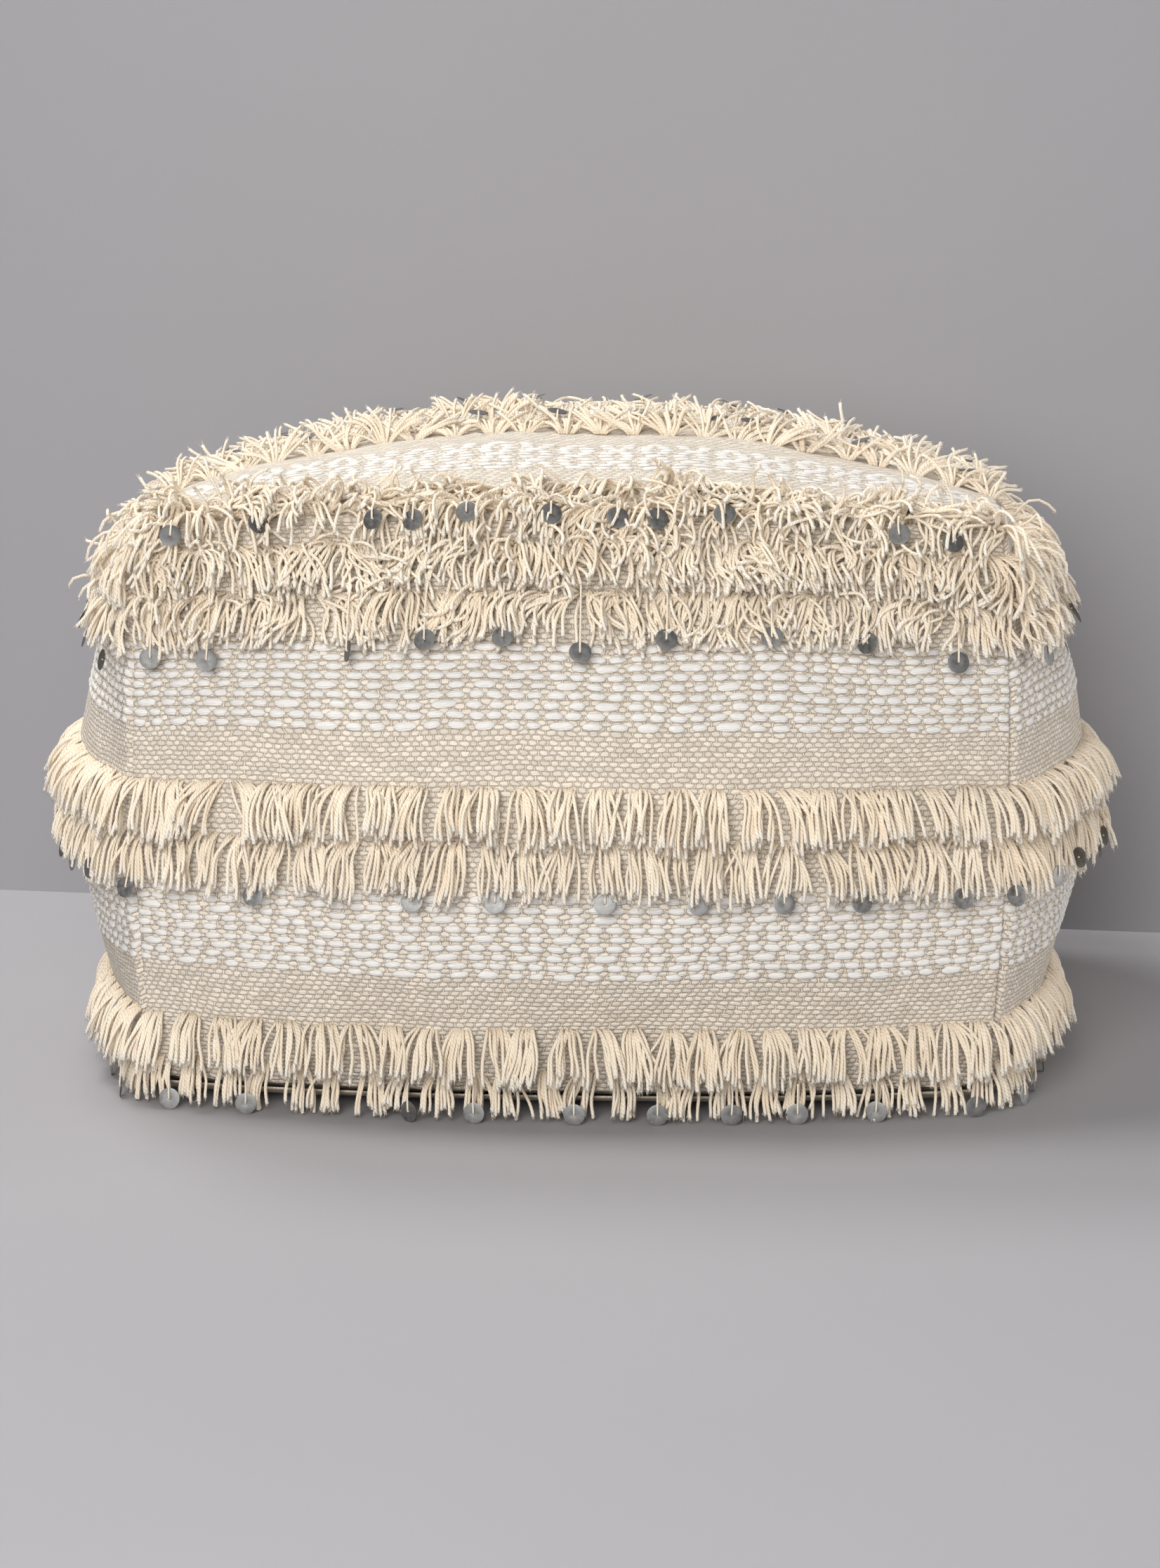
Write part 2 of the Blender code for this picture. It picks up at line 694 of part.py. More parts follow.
def main():
    clear_scene()
    cloth = material("woven_cotton", (0.74, 0.68, 0.57), 0.95)
    yarn = material("fringe_yarn", (0.78, 0.72, 0.60), 0.95)
    canvas = material("base_canvas", (0.52, 0.49, 0.44), 0.92)
    lining = material("inner_lining", (0.85, 0.84, 0.81), 0.9)
    stuffing = material("filling_fibre", (0.88, 0.87, 0.84), 1.0)
    silver = material("sequin_silver", (0.55, 0.54, 0.52), 0.38, 1.0)
    thread = material("sequin_thread", (0.80, 0.73, 0.60), 0.9)
    tape = material("zip_tape", (0.72, 0.67, 0.58), 0.85)
    metal = material("zip_metal", (0.56, 0.55, 0.53), 0.35, 1.0)

    side = side_panel_mesh(cloth)
    for name, turn in SIDES.items():
        place(f"{name}_panel", side, turn)
    place("top_panel", top_panel_mesh(cloth))
    base = base_panel_mesh(canvas)
    place("base_panel_front", base)
    place("base_panel_rear", base, SIDES["back"])
    place("inner_bag_top", inner_bag_top_mesh(lining))
    place("inner_bag_base", inner_bag_base_mesh(lining))
    place("filling", filling_mesh(stuffing))

    down_the_front = arc_table(front_facet_point, 1.0, -1.0, UPWARD)
    build_side_fringe(yarn, down_the_front)
    build_top_fringe(yarn)
    shared = sequin_mesh((silver, thread))
    for name, frame in sequin_places(down_the_front):
        place(name, shared, frame)
    build_zip({"tape": tape, "metal": metal})


main()
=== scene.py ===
"""Square stuffed floor cushion in banded cotton: woven cover panels with raised white floats, rows
of two-ply yarn fringe, sequins on threads, a canvas base closed by a zip, and the pad inside.

Every length is in metres. Shares a, b and h run from -1 to 1 across the cushion, from front to
back and from base to top; v = (h + 1) / 2. The front faces -Y.
"""

import json
import math

import bpy
import numpy as np
from mathutils import Matrix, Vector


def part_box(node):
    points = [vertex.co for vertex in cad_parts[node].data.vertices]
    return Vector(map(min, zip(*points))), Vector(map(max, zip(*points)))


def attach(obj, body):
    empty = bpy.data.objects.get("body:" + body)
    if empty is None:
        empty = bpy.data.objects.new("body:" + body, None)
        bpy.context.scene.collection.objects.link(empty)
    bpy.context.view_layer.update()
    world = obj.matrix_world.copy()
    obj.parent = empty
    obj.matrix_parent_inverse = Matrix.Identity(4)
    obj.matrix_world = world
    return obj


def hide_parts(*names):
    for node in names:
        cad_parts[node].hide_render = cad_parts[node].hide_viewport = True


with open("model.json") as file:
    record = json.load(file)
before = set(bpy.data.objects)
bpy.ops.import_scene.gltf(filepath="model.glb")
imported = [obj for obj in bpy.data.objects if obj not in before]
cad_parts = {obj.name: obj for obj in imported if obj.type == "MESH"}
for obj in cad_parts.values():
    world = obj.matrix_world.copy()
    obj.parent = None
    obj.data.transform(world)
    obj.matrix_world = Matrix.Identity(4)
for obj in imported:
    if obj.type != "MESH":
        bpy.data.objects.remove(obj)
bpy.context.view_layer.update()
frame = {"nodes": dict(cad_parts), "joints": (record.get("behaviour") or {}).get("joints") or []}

bl_info = {
    "name": "Fringed Floor Cushion",
    "version": (1, 0, 0),
    "blender": (4, 5, 0),
    "location": "3D View > Sidebar > Cushion",
    "description": "Builds a banded cotton floor cushion with yarn fringe, sequins and a zip",
    "category": "Add Mesh",
}

SIDES = {"front": 0.0, "right": 90.0, "back": 180.0, "left": 270.0}
PAIRS = ("upper", "middle", "lower")
UP = np.array([0.0, 0.0, 1.0])


# ------------------------------------------------------------------ settings
class CushionBodySettings(bpy.types.PropertyGroup):
    corner_span: bpy.props.FloatProperty(
        name="Corner span",
        description="Between two corner seams at half height",
        default=0.509,
        unit="LENGTH",
    )
    top_seam_inset: bpy.props.FloatProperty(
        name="Top seam inset",
        description="How far a corner seam comes in at the top",
        default=0.006,
        unit="LENGTH",
    )
    base_seam_inset: bpy.props.FloatProperty(
        name="Base seam inset",
        description="How far a corner seam comes in at the base",
        default=0.009,
        unit="LENGTH",
    )
    bulge: bpy.props.FloatVectorProperty(
        name="Side bulge",
        description="How far the middle of a side stands out at the base, half height and top",
        default=(0.0305, 0.062, 0.0085),
        unit="LENGTH",
    )
    bulge_power: bpy.props.FloatProperty(
        name="Bulge power",
        description="2 is a plain parabola, more is fuller towards the corners",
        default=2.4,
    )
    base_seam_height: bpy.props.FloatProperty(
        name="Base seam height",
        description="Height of the base seam above the floor",
        default=0.012,
        unit="LENGTH",
    )
    seam_rise: bpy.props.FloatProperty(
        name="Seam rise",
        description="From the base seam to the middle of a top seam",
        default=0.3335,
        unit="LENGTH",
    )
    corner_drop: bpy.props.FloatProperty(
        name="Corner drop",
        description="How much lower the top corners are",
        default=0.009,
        unit="LENGTH",
    )
    crown: bpy.props.FloatProperty(
        name="Crown",
        description="Dome of the top above its seam",
        default=0.046,
        unit="LENGTH",
    )
    crown_power: bpy.props.FloatProperty(
        name="Crown power",
        description="Shape of the dome, 2 being a parabola",
        default=2.2,
    )
    base_curl: bpy.props.FloatProperty(
        name="Base curl",
        description="The base turns up to its seam over this width",
        default=0.048,
        unit="LENGTH",
    )
    unevenness: bpy.props.FloatProperty(
        name="Unevenness",
        description="Height of the soft lumps that the stuffing makes in the cover",
        default=0.0022,
        unit="LENGTH",
    )


class ClothSettings(bpy.types.PropertyGroup):
    repeat: bpy.props.FloatProperty(
        name="Repeat",
        description="From one pair of fringe rows to the next",
        default=0.148,
        unit="LENGTH",
    )
    first_row_down: bpy.props.FloatProperty(
        name="First row",
        description="From the top seam down a side to its first fringe row",
        default=0.017,
        unit="LENGTH",
    )
    side_repeat: bpy.props.FloatProperty(
        name="Side repeat",
        description="From one pair of rows to the next down a side",
        default=0.144,
        unit="LENGTH",
    )
    top_first_in: bpy.props.FloatProperty(
        name="First row on the top",
        description="From the front seam to the first fringe row on the top",
        default=0.006,
        unit="LENGTH",
    )
    row_pitch: bpy.props.FloatProperty(
        name="Row pitch",
        description="Between the two fringe rows of a pair",
        default=0.030,
        unit="LENGTH",
    )
    float_colour: bpy.props.FloatVectorProperty(
        name="Float colour",
        description="Bleached yarn of the raised floats",
        default=(0.91, 0.895, 0.87),
        subtype="COLOR",
    )
    ground_colour: bpy.props.FloatVectorProperty(
        name="Ground colour",
        description="Natural cotton of the ground weave",
        default=(0.83, 0.755, 0.65),
        subtype="COLOR",
    )
    # Painted shade: the colour mixed in deep between the yarns and under the white floats.
    painted_shade_colour: bpy.props.FloatVectorProperty(
        name="Hollow colour",
        description="Colour deep between the yarns",
        default=(0.42, 0.30, 0.19),
        subtype="COLOR",
    )


class FringeSettings(bpy.types.PropertyGroup):
    length: bpy.props.FloatProperty(
        name="Strand length",
        description="Length of a fringe strand from the cloth to its cut end",
        default=0.036,
        unit="LENGTH",
    )
    radius: bpy.props.FloatProperty(
        name="Strand radius",
        description="Half the thickness of the two-ply yarn",
        default=0.00098,
        unit="LENGTH",
    )
    tuft_pitch: bpy.props.FloatProperty(
        name="Tuft pitch",
        description="Between one gathered tuft and the next",
        default=0.0198,
        unit="LENGTH",
    )
    colour: bpy.props.FloatVectorProperty(
        name="Yarn colour",
        description="Natural cotton yarn",
        default=(0.95, 0.85, 0.70),
        subtype="COLOR",
    )
    end_colour: bpy.props.FloatVectorProperty(
        name="End colour",
        description="Frayed cut ends of the yarn",
        default=(0.93, 0.89, 0.81),
        subtype="COLOR",
    )


class SequinSettings(bpy.types.PropertyGroup):
    diameter: bpy.props.FloatProperty(
        name="Diameter",
        description="Across one sequin",
        default=0.0124,
        unit="LENGTH",
    )
    hole: bpy.props.FloatProperty(
        name="Hole",
        description="Diameter of the hole in its middle",
        default=0.0010,
        unit="LENGTH",
    )
    thickness: bpy.props.FloatProperty(
        name="Thickness",
        description="Thickness of the metal",
        default=0.0005,
        unit="LENGTH",
    )
    thread_length: bpy.props.FloatProperty(
        name="Thread length",
        description="From the knot to the sequin's hole",
        default=0.027,
        unit="LENGTH",
    )
    thread_radius: bpy.props.FloatProperty(
        name="Thread radius",
        description="Half the thickness of the thread",
        default=0.00058,
        unit="LENGTH",
    )
    metal_colour: bpy.props.FloatVectorProperty(
        name="Metal colour",
        description="Dull scratched silver",
        default=(0.52, 0.52, 0.51),
        subtype="COLOR",
    )


class UndersideSettings(bpy.types.PropertyGroup):
    half_gap: bpy.props.FloatProperty(
        name="Half gap",
        description="From the middle to each canvas edge at the zip",
        default=0.009,
        unit="LENGTH",
    )
    coil_pitch: bpy.props.FloatProperty(
        name="Coil pitch",
        description="Between two turns of the zip's coil",
        default=0.0015,
        unit="LENGTH",
    )
    canvas_colour: bpy.props.FloatVectorProperty(
        name="Canvas colour",
        description="Plain heavy canvas of the base",
        default=(0.62, 0.53, 0.42),
        subtype="COLOR",
    )
    tape_colour: bpy.props.FloatVectorProperty(
        name="Tape colour",
        description="Woven zip tape",
        default=(0.74, 0.69, 0.60),
        subtype="COLOR",
    )


class StageSettings(bpy.types.PropertyGroup):
    floor_colour: bpy.props.FloatVectorProperty(
        name="Floor colour",
        description="Plain pale floor",
        default=(0.402, 0.396, 0.418),
        subtype="COLOR",
    )
    wall_colour: bpy.props.FloatVectorProperty(
        name="Wall colour",
        description="Plain wall behind",
        default=(0.378, 0.372, 0.393),
        subtype="COLOR",
    )
    key_power: bpy.props.FloatProperty(
        name="Key light",
        description="Power of the large soft light above at the left",
        default=38.0,
        unit="POWER",
    )
    fill_power: bpy.props.FloatProperty(
        name="Fill light",
        description="Power of the large soft light in front",
        default=74.0,
        unit="POWER",
    )
    side_power: bpy.props.FloatProperty(
        name="Side light",
        description="Power of the low light at the right",
        default=16.0,
        unit="POWER",
    )
    back_power: bpy.props.FloatProperty(
        name="Back light",
        description="Power of the soft light high behind, which shines past the wall",
        default=27.0,
        unit="POWER",
    )
    sky: bpy.props.FloatProperty(
        name="Surrounding light",
        description="Strength of the even light from all round",
        default=0.075,
    )


def settings(name):
    """The scene's values of one group of settings."""
    return getattr(bpy.context.scene, "cushion_" + name)


# ------------------------------------------------------------------ the cushion's formula
def arched(base, middle, top, v):
    """A parabola through three values, at v = 0, 1/2 and 1."""
    return base + (top - base) * v + (middle - (top + base) / 2) * (1 - (2 * v - 1) ** 2)


def corner_half(v):
    """Half the span between two corner seams, arched over the height."""
    body = settings("body")
    middle = body.corner_span / 2
    return arched(middle - body.base_seam_inset, middle, middle - body.top_seam_inset, v)


def side_bulge(v):
    """How far the middle of a side stands out past its corners, arched over the height."""
    return arched(*settings("body").bulge, v)


def fullness(t):
    """1 in the middle of a side, falling to 0 at its corners: 1 - |t| ** power."""
    return 1 - np.minimum(np.abs(t), 1.2) ** settings("body").bulge_power


def base_height(a, b):
    """Flat on the floor, turned up as a square of the distance past where the base lies flat."""
    body = settings("body")
    flat = 1 - body.base_curl / corner_half(0.0)
    beyond = np.clip(np.maximum(np.abs(a), np.abs(b)) - flat, 0, None) / (1 - flat)
    return body.base_seam_height * np.minimum(beyond, 1) ** 2


def top_height(a, b):
    """The seam's height, lower at the corners, plus a dome: a power of each share."""
    body = settings("body")
    edge = 1 - (1 - fullness(a)) * (1 - fullness(b))
    seam = body.base_seam_height + body.seam_rise - body.corner_drop * (1 - edge)
    across = np.clip(1 - np.abs(a) ** body.crown_power, 0, None)
    along = np.clip(1 - np.abs(b) ** body.crown_power, 0, None)
    return seam + body.crown * across * along


def cushion_point(a, b, h, out=0.0):
    """The point at shares (a, b, h): each of x and y is its share of the half span plus the bulge
    that the other share gives, z runs from the base to the top, and out moves it off the cloth."""
    v = (h + 1) / 2
    half, bulge = corner_half(v) + out, side_bulge(v)
    low, high = base_height(a, b), top_height(a, b)
    x = a * (half + bulge * fullness(b))
    y = b * (half + bulge * fullness(a))
    z = low + (high - low) * v + out * (2 * v - 1)
    return np.stack(np.broadcast_arrays(x, y, z), axis=-1)


def turned(points, degrees):
    """The points turned about the cushion's upright axis."""
    c, s = math.cos(math.radians(degrees)), math.sin(math.radians(degrees))
    x, y = points[..., 0], points[..., 1]
    return np.stack([c * x - s * y, s * x + c * y, points[..., 2]], axis=-1)


def clear_of_cushion(points, clearance):
    """Points inside the cushion grown by clearance are lifted to its top or pushed out of its
    nearest side, whichever is closer, and none goes under the floor."""
    body = settings("body")
    x, y, z = points[..., 0], points[..., 1], points[..., 2]
    ceiling = body.base_seam_height + body.seam_rise
    v = np.clip((z - body.base_seam_height) / body.seam_rise, 0, 1)
    half, bulge = corner_half(v), side_bulge(v)
    a, b = x / half, y / half
    for _ in range(3):
        a, b = x / (half + bulge * np.clip(fullness(b), 0, 1)), y / (
            half + bulge * np.clip(fullness(a), 0, 1)
        )
    ca, cb = np.clip(a, -1, 1), np.clip(b, -1, 1)
    roof = top_height(ca, cb) + clearance
    reach = np.maximum(np.abs(a), np.abs(b))
    limit = 1 + clearance / half
    inside = (reach < limit) & (z < roof)
    up = roof - z
    sideways = (limit - reach) * half
    lift = inside & (up < sideways) & (z > ceiling * 0.8)
    push = inside & ~lift
    z = np.where(lift, roof, z)
    by_x = np.abs(a) > np.abs(b)
    grow = limit / np.maximum(reach, 1e-6)
    x = np.where(push & by_x, x * grow, x)
    y = np.where(push & ~by_x, y * grow, y)
    return np.stack([x, y, np.maximum(z, 0.0010)], axis=-1)


def run_of(points):
    """Distance run along a line of points."""
    steps = np.linalg.norm(np.diff(points, axis=0), axis=1)
    return np.concatenate([[0.0], np.cumsum(steps)])


def side_rule():
    """Shares h from the top seam to the base seam, and the distance down the middle at each."""
    shares = np.linspace(1, -1, 400)
    return shares, run_of(cushion_point(0.0, -1.0, shares))


def top_rule():
    """Shares b from the front seam to the back, and the distance along the middle at each."""
    shares = np.linspace(-1, 1, 400)
    return shares, run_of(cushion_point(0.0, shares, 1.0))


def across_rule():
    """Shares a across a side at half height, and the distance from its middle at each."""
    shares = np.linspace(-1, 1, 400)
    run = run_of(cushion_point(shares, -1.0, 0.0))
    return shares, run - run[-1] / 2


# ------------------------------------------------------------------ mesh building
def smooth_noise(rng, points, size, octaves=2):
    """Soft random values at 2-D or 3-D points: a sum of cosines in random directions, whose
    wavelengths are near size and then halve."""
    total = np.zeros(points.shape[:-1])
    for octave in range(octaves):
        for _ in range(5):
            direction = rng.normal(size=points.shape[-1])
            direction *= 2 * math.pi / (size * rng.uniform(0.7, 1.5) * np.linalg.norm(direction))
            wave = np.cos(points @ (direction * 2**octave) + rng.uniform(0, 2 * math.pi))
            total += wave / (5 * 2**octave)
    return total


def make_piece(name, points, faces, look, uv=None, tones=None, body="cushion", sharp=None):
    """A mesh object from an array of points and a list of face arrays, three or four corners a
    face. uv is one array per face array, and tones one row of three numbers a point."""
    mesh = bpy.data.meshes.new(name)
    points = np.ascontiguousarray(points, np.float32).reshape(-1, 3)
    corners = np.concatenate([f.ravel() for f in faces]).astype(np.int32)
    counts = np.concatenate([np.full(len(f), f.shape[1], np.int32) for f in faces])
    starts = np.concatenate([[0], np.cumsum(counts)[:-1]]).astype(np.int32)
    mesh.vertices.add(len(points))
    mesh.vertices.foreach_set("co", points.ravel())
    mesh.loops.add(len(corners))
    mesh.loops.foreach_set("vertex_index", corners)
    mesh.polygons.add(len(starts))
    mesh.polygons.foreach_set("loop_start", starts)
    mesh.update(calc_edges=True)
    if uv is not None:
        layer = mesh.uv_layers.new(name="cloth")
        flat = np.concatenate([u.reshape(-1, 2) for u in uv]).astype(np.float32)
        layer.data.foreach_set("uv", flat.ravel())
    if tones is not None:
        layer = mesh.color_attributes.new(name="tone", type="FLOAT_COLOR", domain="POINT")
        filled = np.ones((len(points), 4), np.float32)
        filled[:, :3] = tones
        layer.data.foreach_set("color", filled.ravel())
    mesh.materials.append(look)
    mesh.shade_smooth()
    if sharp is not None:
        mesh.set_sharp_from_angle(angle=math.radians(sharp))
    mesh.validate()
    item = bpy.data.objects.new(name, mesh)
    bpy.context.scene.collection.objects.link(item)
    if body:
        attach(item, body)
    return item


def grid_faces(rows, columns, first=0):
    """Quads of a grid of points, turned so that (next column) x (next row) points inwards."""
    index = first + np.arange(rows * columns).reshape(rows, columns)
    return np.stack(
        [index[:-1, :-1], index[1:, :-1], index[1:, 1:], index[:-1, 1:]], axis=-1
    ).reshape(-1, 4)


def tubes(paths, radii, sides, across):
    """Closed tubes along many paths at once. Each ring is cos * n + sin * t x n about its path,
    n being the given crosswise vector made square to the path's tangent t."""
    count, stations = paths.shape[:2]
    tangent = np.gradient(paths, axis=1)
    tangent /= np.linalg.norm(tangent, axis=-1, keepdims=True) + 1e-12
    normal = across - (across * tangent).sum(-1, keepdims=True) * tangent
    normal /= np.linalg.norm(normal, axis=-1, keepdims=True) + 1e-12
    other = np.cross(tangent, normal)
    angle = np.linspace(0, 2 * math.pi, sides, endpoint=False)
    ring = (
        np.cos(angle)[:, None] * normal[:, :, None, :]
        + np.sin(angle)[:, None] * other[:, :, None, :]
    )
    rings = paths[:, :, None, :] + radii[:, :, None, None] * ring
    ends = np.stack(
        [
            paths[:, 0] - tangent[:, 0] * radii[:, :1] * 0.4,
            paths[:, -1] + tangent[:, -1] * radii[:, -1:] * 0.4,
        ],
        axis=1,
    )
    points = np.concatenate([rings.reshape(-1, 3), ends.reshape(-1, 3)])
    index = np.arange(count * stations * sides).reshape(count, stations, sides)
    ahead = np.roll(index, -1, axis=2)
    walls = np.stack([index[:, :-1], ahead[:, :-1], ahead[:, 1:], index[:, 1:]], axis=-1)
    tip = count * stations * sides + np.arange(2 * count).reshape(count, 2)
    low = np.stack(
        [ahead[:, 0], index[:, 0], np.broadcast_to(tip[:, :1], (count, sides))], axis=-1
    )
    high = np.stack(
        [index[:, -1], ahead[:, -1], np.broadcast_to(tip[:, 1:], (count, sides))], axis=-1
    )
    caps = np.concatenate([low.reshape(-1, 3), high.reshape(-1, 3)])
    steps = np.linalg.norm(np.diff(paths, axis=1), axis=-1)
    run = np.concatenate([np.zeros((count, 1)), np.cumsum(steps, axis=1)], axis=1)
    round_it = np.arange(sides + 1) / sides
    u = np.broadcast_to(round_it[:-1], (count, stations - 1, sides))
    u_next = np.broadcast_to(round_it[1:], (count, stations - 1, sides))
    near = np.broadcast_to(run[:, :-1, None], u.shape)
    far = np.broadcast_to(run[:, 1:, None], u.shape)
    wall_uv = np.stack(
        [
            np.stack([u, near], -1),
            np.stack([u_next, near], -1),
            np.stack([u_next, far], -1),
            np.stack([u, far], -1),
        ],
        axis=-2,
    )
    cap_uv = np.zeros((len(caps), 3, 2))
    return points, walls.reshape(-1, 4), caps, wall_uv.reshape(-1, 4, 2), cap_uv, tangent


# ------------------------------------------------------------------ shader building
def value_of(tree, socket, value):
    """Sets a socket to a number, a vector or another node's output."""
    if isinstance(value, bpy.types.NodeSocket):
        tree.links.new(value, socket)
    else:
        socket.default_value = value


def reckon(tree, operation, *values, clamp=False):
    """One Math node, as an output socket."""
    node = tree.nodes.new("ShaderNodeMath")
    node.operation = operation
    node.use_clamp = clamp
    for socket, value in zip(node.inputs, values):
        value_of(tree, socket, value)
    return node.outputs[0]


def eased(tree, value, low, high, start=0.0, end=1.0):
    """A smooth step from start to end as value goes from low to high."""
    node = tree.nodes.new("ShaderNodeMapRange")
    node.interpolation_type = "SMOOTHSTEP"
    for socket, number in zip(node.inputs, (value, low, high, start, end)):
        value_of(tree, socket, number)
    return node.outputs[0]


def blended(tree, share, first, second, kind="MIX"):
    """One colour Mix node, as an output socket."""
    node = tree.nodes.new("ShaderNodeMix")
    node.data_type = "RGBA"
    node.blend_type = kind
    value_of(tree, node.inputs["Factor"], share)
    for socket, value in ((node.inputs[6], first), (node.inputs[7], second)):
        value_of(tree, socket, value if isinstance(value, bpy.types.NodeSocket) else (*value, 1.0))
    return node.outputs[2]


def grainy(tree, place, scale, detail=2.0, roughness=0.5):
    node = tree.nodes.new("ShaderNodeTexNoise")
    value_of(tree, node.inputs["Vector"], place)
    node.inputs["Scale"].default_value = scale
    node.inputs["Detail"].default_value = detail
    node.inputs["Roughness"].default_value = roughness
    return node.outputs[0]


def stretched(tree, place, scale):
    """A place multiplied by a scale on each axis."""
    node = tree.nodes.new("ShaderNodeVectorMath")
    node.operation = "MULTIPLY"
    value_of(tree, node.inputs[0], place)
    node.inputs[1].default_value = scale
    return node.outputs[0]


def cloth_place(tree):
    """The place on a piece's own cloth, in metres or turns."""
    node = tree.nodes.new("ShaderNodeUVMap")
    node.uv_map = "cloth"
    return node.outputs[0]


def object_place(tree):
    """The place in the piece's own space, in metres."""
    return tree.nodes.new("ShaderNodeTexCoord").outputs["Object"]


def plain_material(name, colour, roughness, metallic=0.0, sheen=0.0):
    """A material of one colour, with its node tree and its shader."""
    made = bpy.data.materials.new(name)
    made.use_nodes = True
    shader = made.node_tree.nodes["Principled BSDF"]
    shader.inputs["Base Color"].default_value = (*colour, 1.0)
    shader.inputs["Roughness"].default_value = roughness
    shader.inputs["Metallic"].default_value = metallic
    shader.inputs["Specular IOR Level"].default_value = 0.5 if metallic else 0.22
    shader.inputs["Sheen Weight"].default_value = sheen
    made.diffuse_color = (*colour, 1.0)
    return made, made.node_tree, shader


def raised(tree, shader, height, distance, strength=1.0):
    """A Bump node from a height in millimetres or another unit to the shader's Normal."""
    bump = tree.nodes.new("ShaderNodeBump")
    bump.inputs["Strength"].default_value = strength
    bump.inputs["Distance"].default_value = distance
    tree.links.new(height, bump.inputs["Height"])
    tree.links.new(bump.outputs[0], shader.inputs["Normal"])


def effect(name, inputs, outputs):
    """An empty node group with named inputs (name, kind, default) and outputs (name, kind)."""
    made = bpy.data.node_groups.new(name, "ShaderNodeTree")
    for label, kind, default in inputs:
        socket = made.interface.new_socket(label, in_out="INPUT", socket_type=kind)
        if default is not None:
            socket.default_value = default
    for label, kind in outputs:
        made.interface.new_socket(label, in_out="OUTPUT", socket_type=kind)
    return made, made.nodes.new("NodeGroupInput"), made.nodes.new("NodeGroupOutput")


def placed(tree, group, **values):
    """One use of an effect in a tree, with the given inputs."""
    node = tree.nodes.new("ShaderNodeGroup")
    node.node_tree = group
    for label, value in values.items():
        value_of(tree, node.inputs[label.replace("_", " ")], value)
    return node


FLOAT, VECTOR = "NodeSocketFloat", "NodeSocketVector"
PER_MM = (1000.0, 1000.0, 1000.0)

# The weave, in millimetres of cloth: the repeat of the bands, the width of one period of floats,
# the height of a row, where a band starts in its repeat and how many rows it has, each float's
# half width and half height, and how far the small and the paired ones stand off.
WEAVE_REPEAT = 148.0
FLOAT_PERIOD, FLOAT_ROW, BAND_START, BAND_ROWS = 45.8, 5.89, 62.0, 9
LARGE_FLOAT, SMALL_FLOAT, PAIRED_FLOAT = (6.6, 2.65), (4.75, 2.3), (4.8, 2.35)
SMALL_FLOAT_AT, PAIRED_FLOAT_AT = 16.1, 5.35
OVAL_POWER = 2.7
# Below this distance the ground's rows are shifted by less than half a float.
LOOSE_GROUND_FROM = 395.0


def floats_group():
    """The raised white floats in millimetres of cloth: nine rows in every repeat. Even rows have a
    large oval in each period, shifted by half a period every second one, and a small oval on each
    side of it; odd rows have two ovals beside each large one above or below. Height is the root
    of 1 minus the squared distance in oval units. The third output masks a painted shadow along
    the lower edge of each float."""
    tree, start, end = effect(
        "white floats",
        [("Place", VECTOR, None)],
        [("Height", FLOAT), ("White", FLOAT), ("Painted shadow", FLOAT)],
    )
    parts = tree.nodes.new("ShaderNodeSeparateXYZ")
    tree.links.new(start.outputs["Place"], parts.inputs[0])
    across, down = parts.outputs[0], parts.outputs[1]
    down = reckon(tree, "FLOORED_MODULO", down, WEAVE_REPEAT)
    rows = reckon(tree, "DIVIDE", reckon(tree, "SUBTRACT", down, BAND_START), FLOAT_ROW)
    row = reckon(tree, "FLOOR", rows)
    in_row = reckon(tree, "SUBTRACT", reckon(tree, "SUBTRACT", rows, row), 0.5)
    in_row = reckon(tree, "MULTIPLY", in_row, FLOAT_ROW)
    shift = reckon(tree, "FLOORED_MODULO", row, 4.0)
    moved = reckon(tree, "MULTIPLY_ADD", shift, FLOAT_PERIOD / 4, across)
    even = reckon(tree, "WRAP", moved, FLOAT_PERIOD / 2, -FLOAT_PERIOD / 2)
    odd = reckon(tree, "WRAP", across, FLOAT_PERIOD / 4, -FLOAT_PERIOD / 4)

    def oval(x, size, tilt=None):
        t = in_row if tilt is None else reckon(tree, "MULTIPLY_ADD", tilt, 0.05, in_row)
        x = reckon(tree, "ABSOLUTE", reckon(tree, "DIVIDE", x, size[0]))
        x = reckon(tree, "POWER", x, OVAL_POWER)
        t = reckon(tree, "DIVIDE", t, size[1])
        return reckon(tree, "MULTIPLY_ADD", t, t, x)

    aside = reckon(tree, "SUBTRACT", reckon(tree, "ABSOLUTE", even), SMALL_FLOAT_AT)
    paired = reckon(tree, "SUBTRACT", reckon(tree, "ABSOLUTE", odd), PAIRED_FLOAT_AT)
    in_even = reckon(tree, "MINIMUM", oval(even, LARGE_FLOAT, even), oval(aside, SMALL_FLOAT))
    in_odd = oval(paired, PAIRED_FLOAT)
    is_odd = reckon(tree, "FLOORED_MODULO", row, 2.0)
    away = reckon(
        tree,
        "MULTIPLY_ADD",
        reckon(tree, "SUBTRACT", in_odd, in_even),
        is_odd,
        in_even,
    )
    in_band = reckon(
        tree,
        "MULTIPLY",
        reckon(tree, "GREATER_THAN", rows, 0.0),
        reckon(tree, "LESS_THAN", rows, float(BAND_ROWS)),
    )
    inner = reckon(tree, "MULTIPLY", reckon(tree, "SUBTRACT", 1.0, away, clamp=True), in_band)
    tree.links.new(reckon(tree, "SQRT", inner), end.inputs["Height"])
    white = eased(tree, inner, 0.0, 0.12)
    tree.links.new(white, end.inputs["White"])
    # Painted shadow mask: a rim just outside each float, on its lower side.
    rim = reckon(tree, "MULTIPLY", eased(tree, away, 1.5, 1.0), in_band)
    rim = reckon(tree, "MULTIPLY", rim, eased(tree, in_row, -1.0, 2.0))
    rim = reckon(tree, "MULTIPLY", rim, reckon(tree, "SUBTRACT", 1.0, white))
    tree.links.new(rim, end.inputs["Painted shadow"])
    return tree


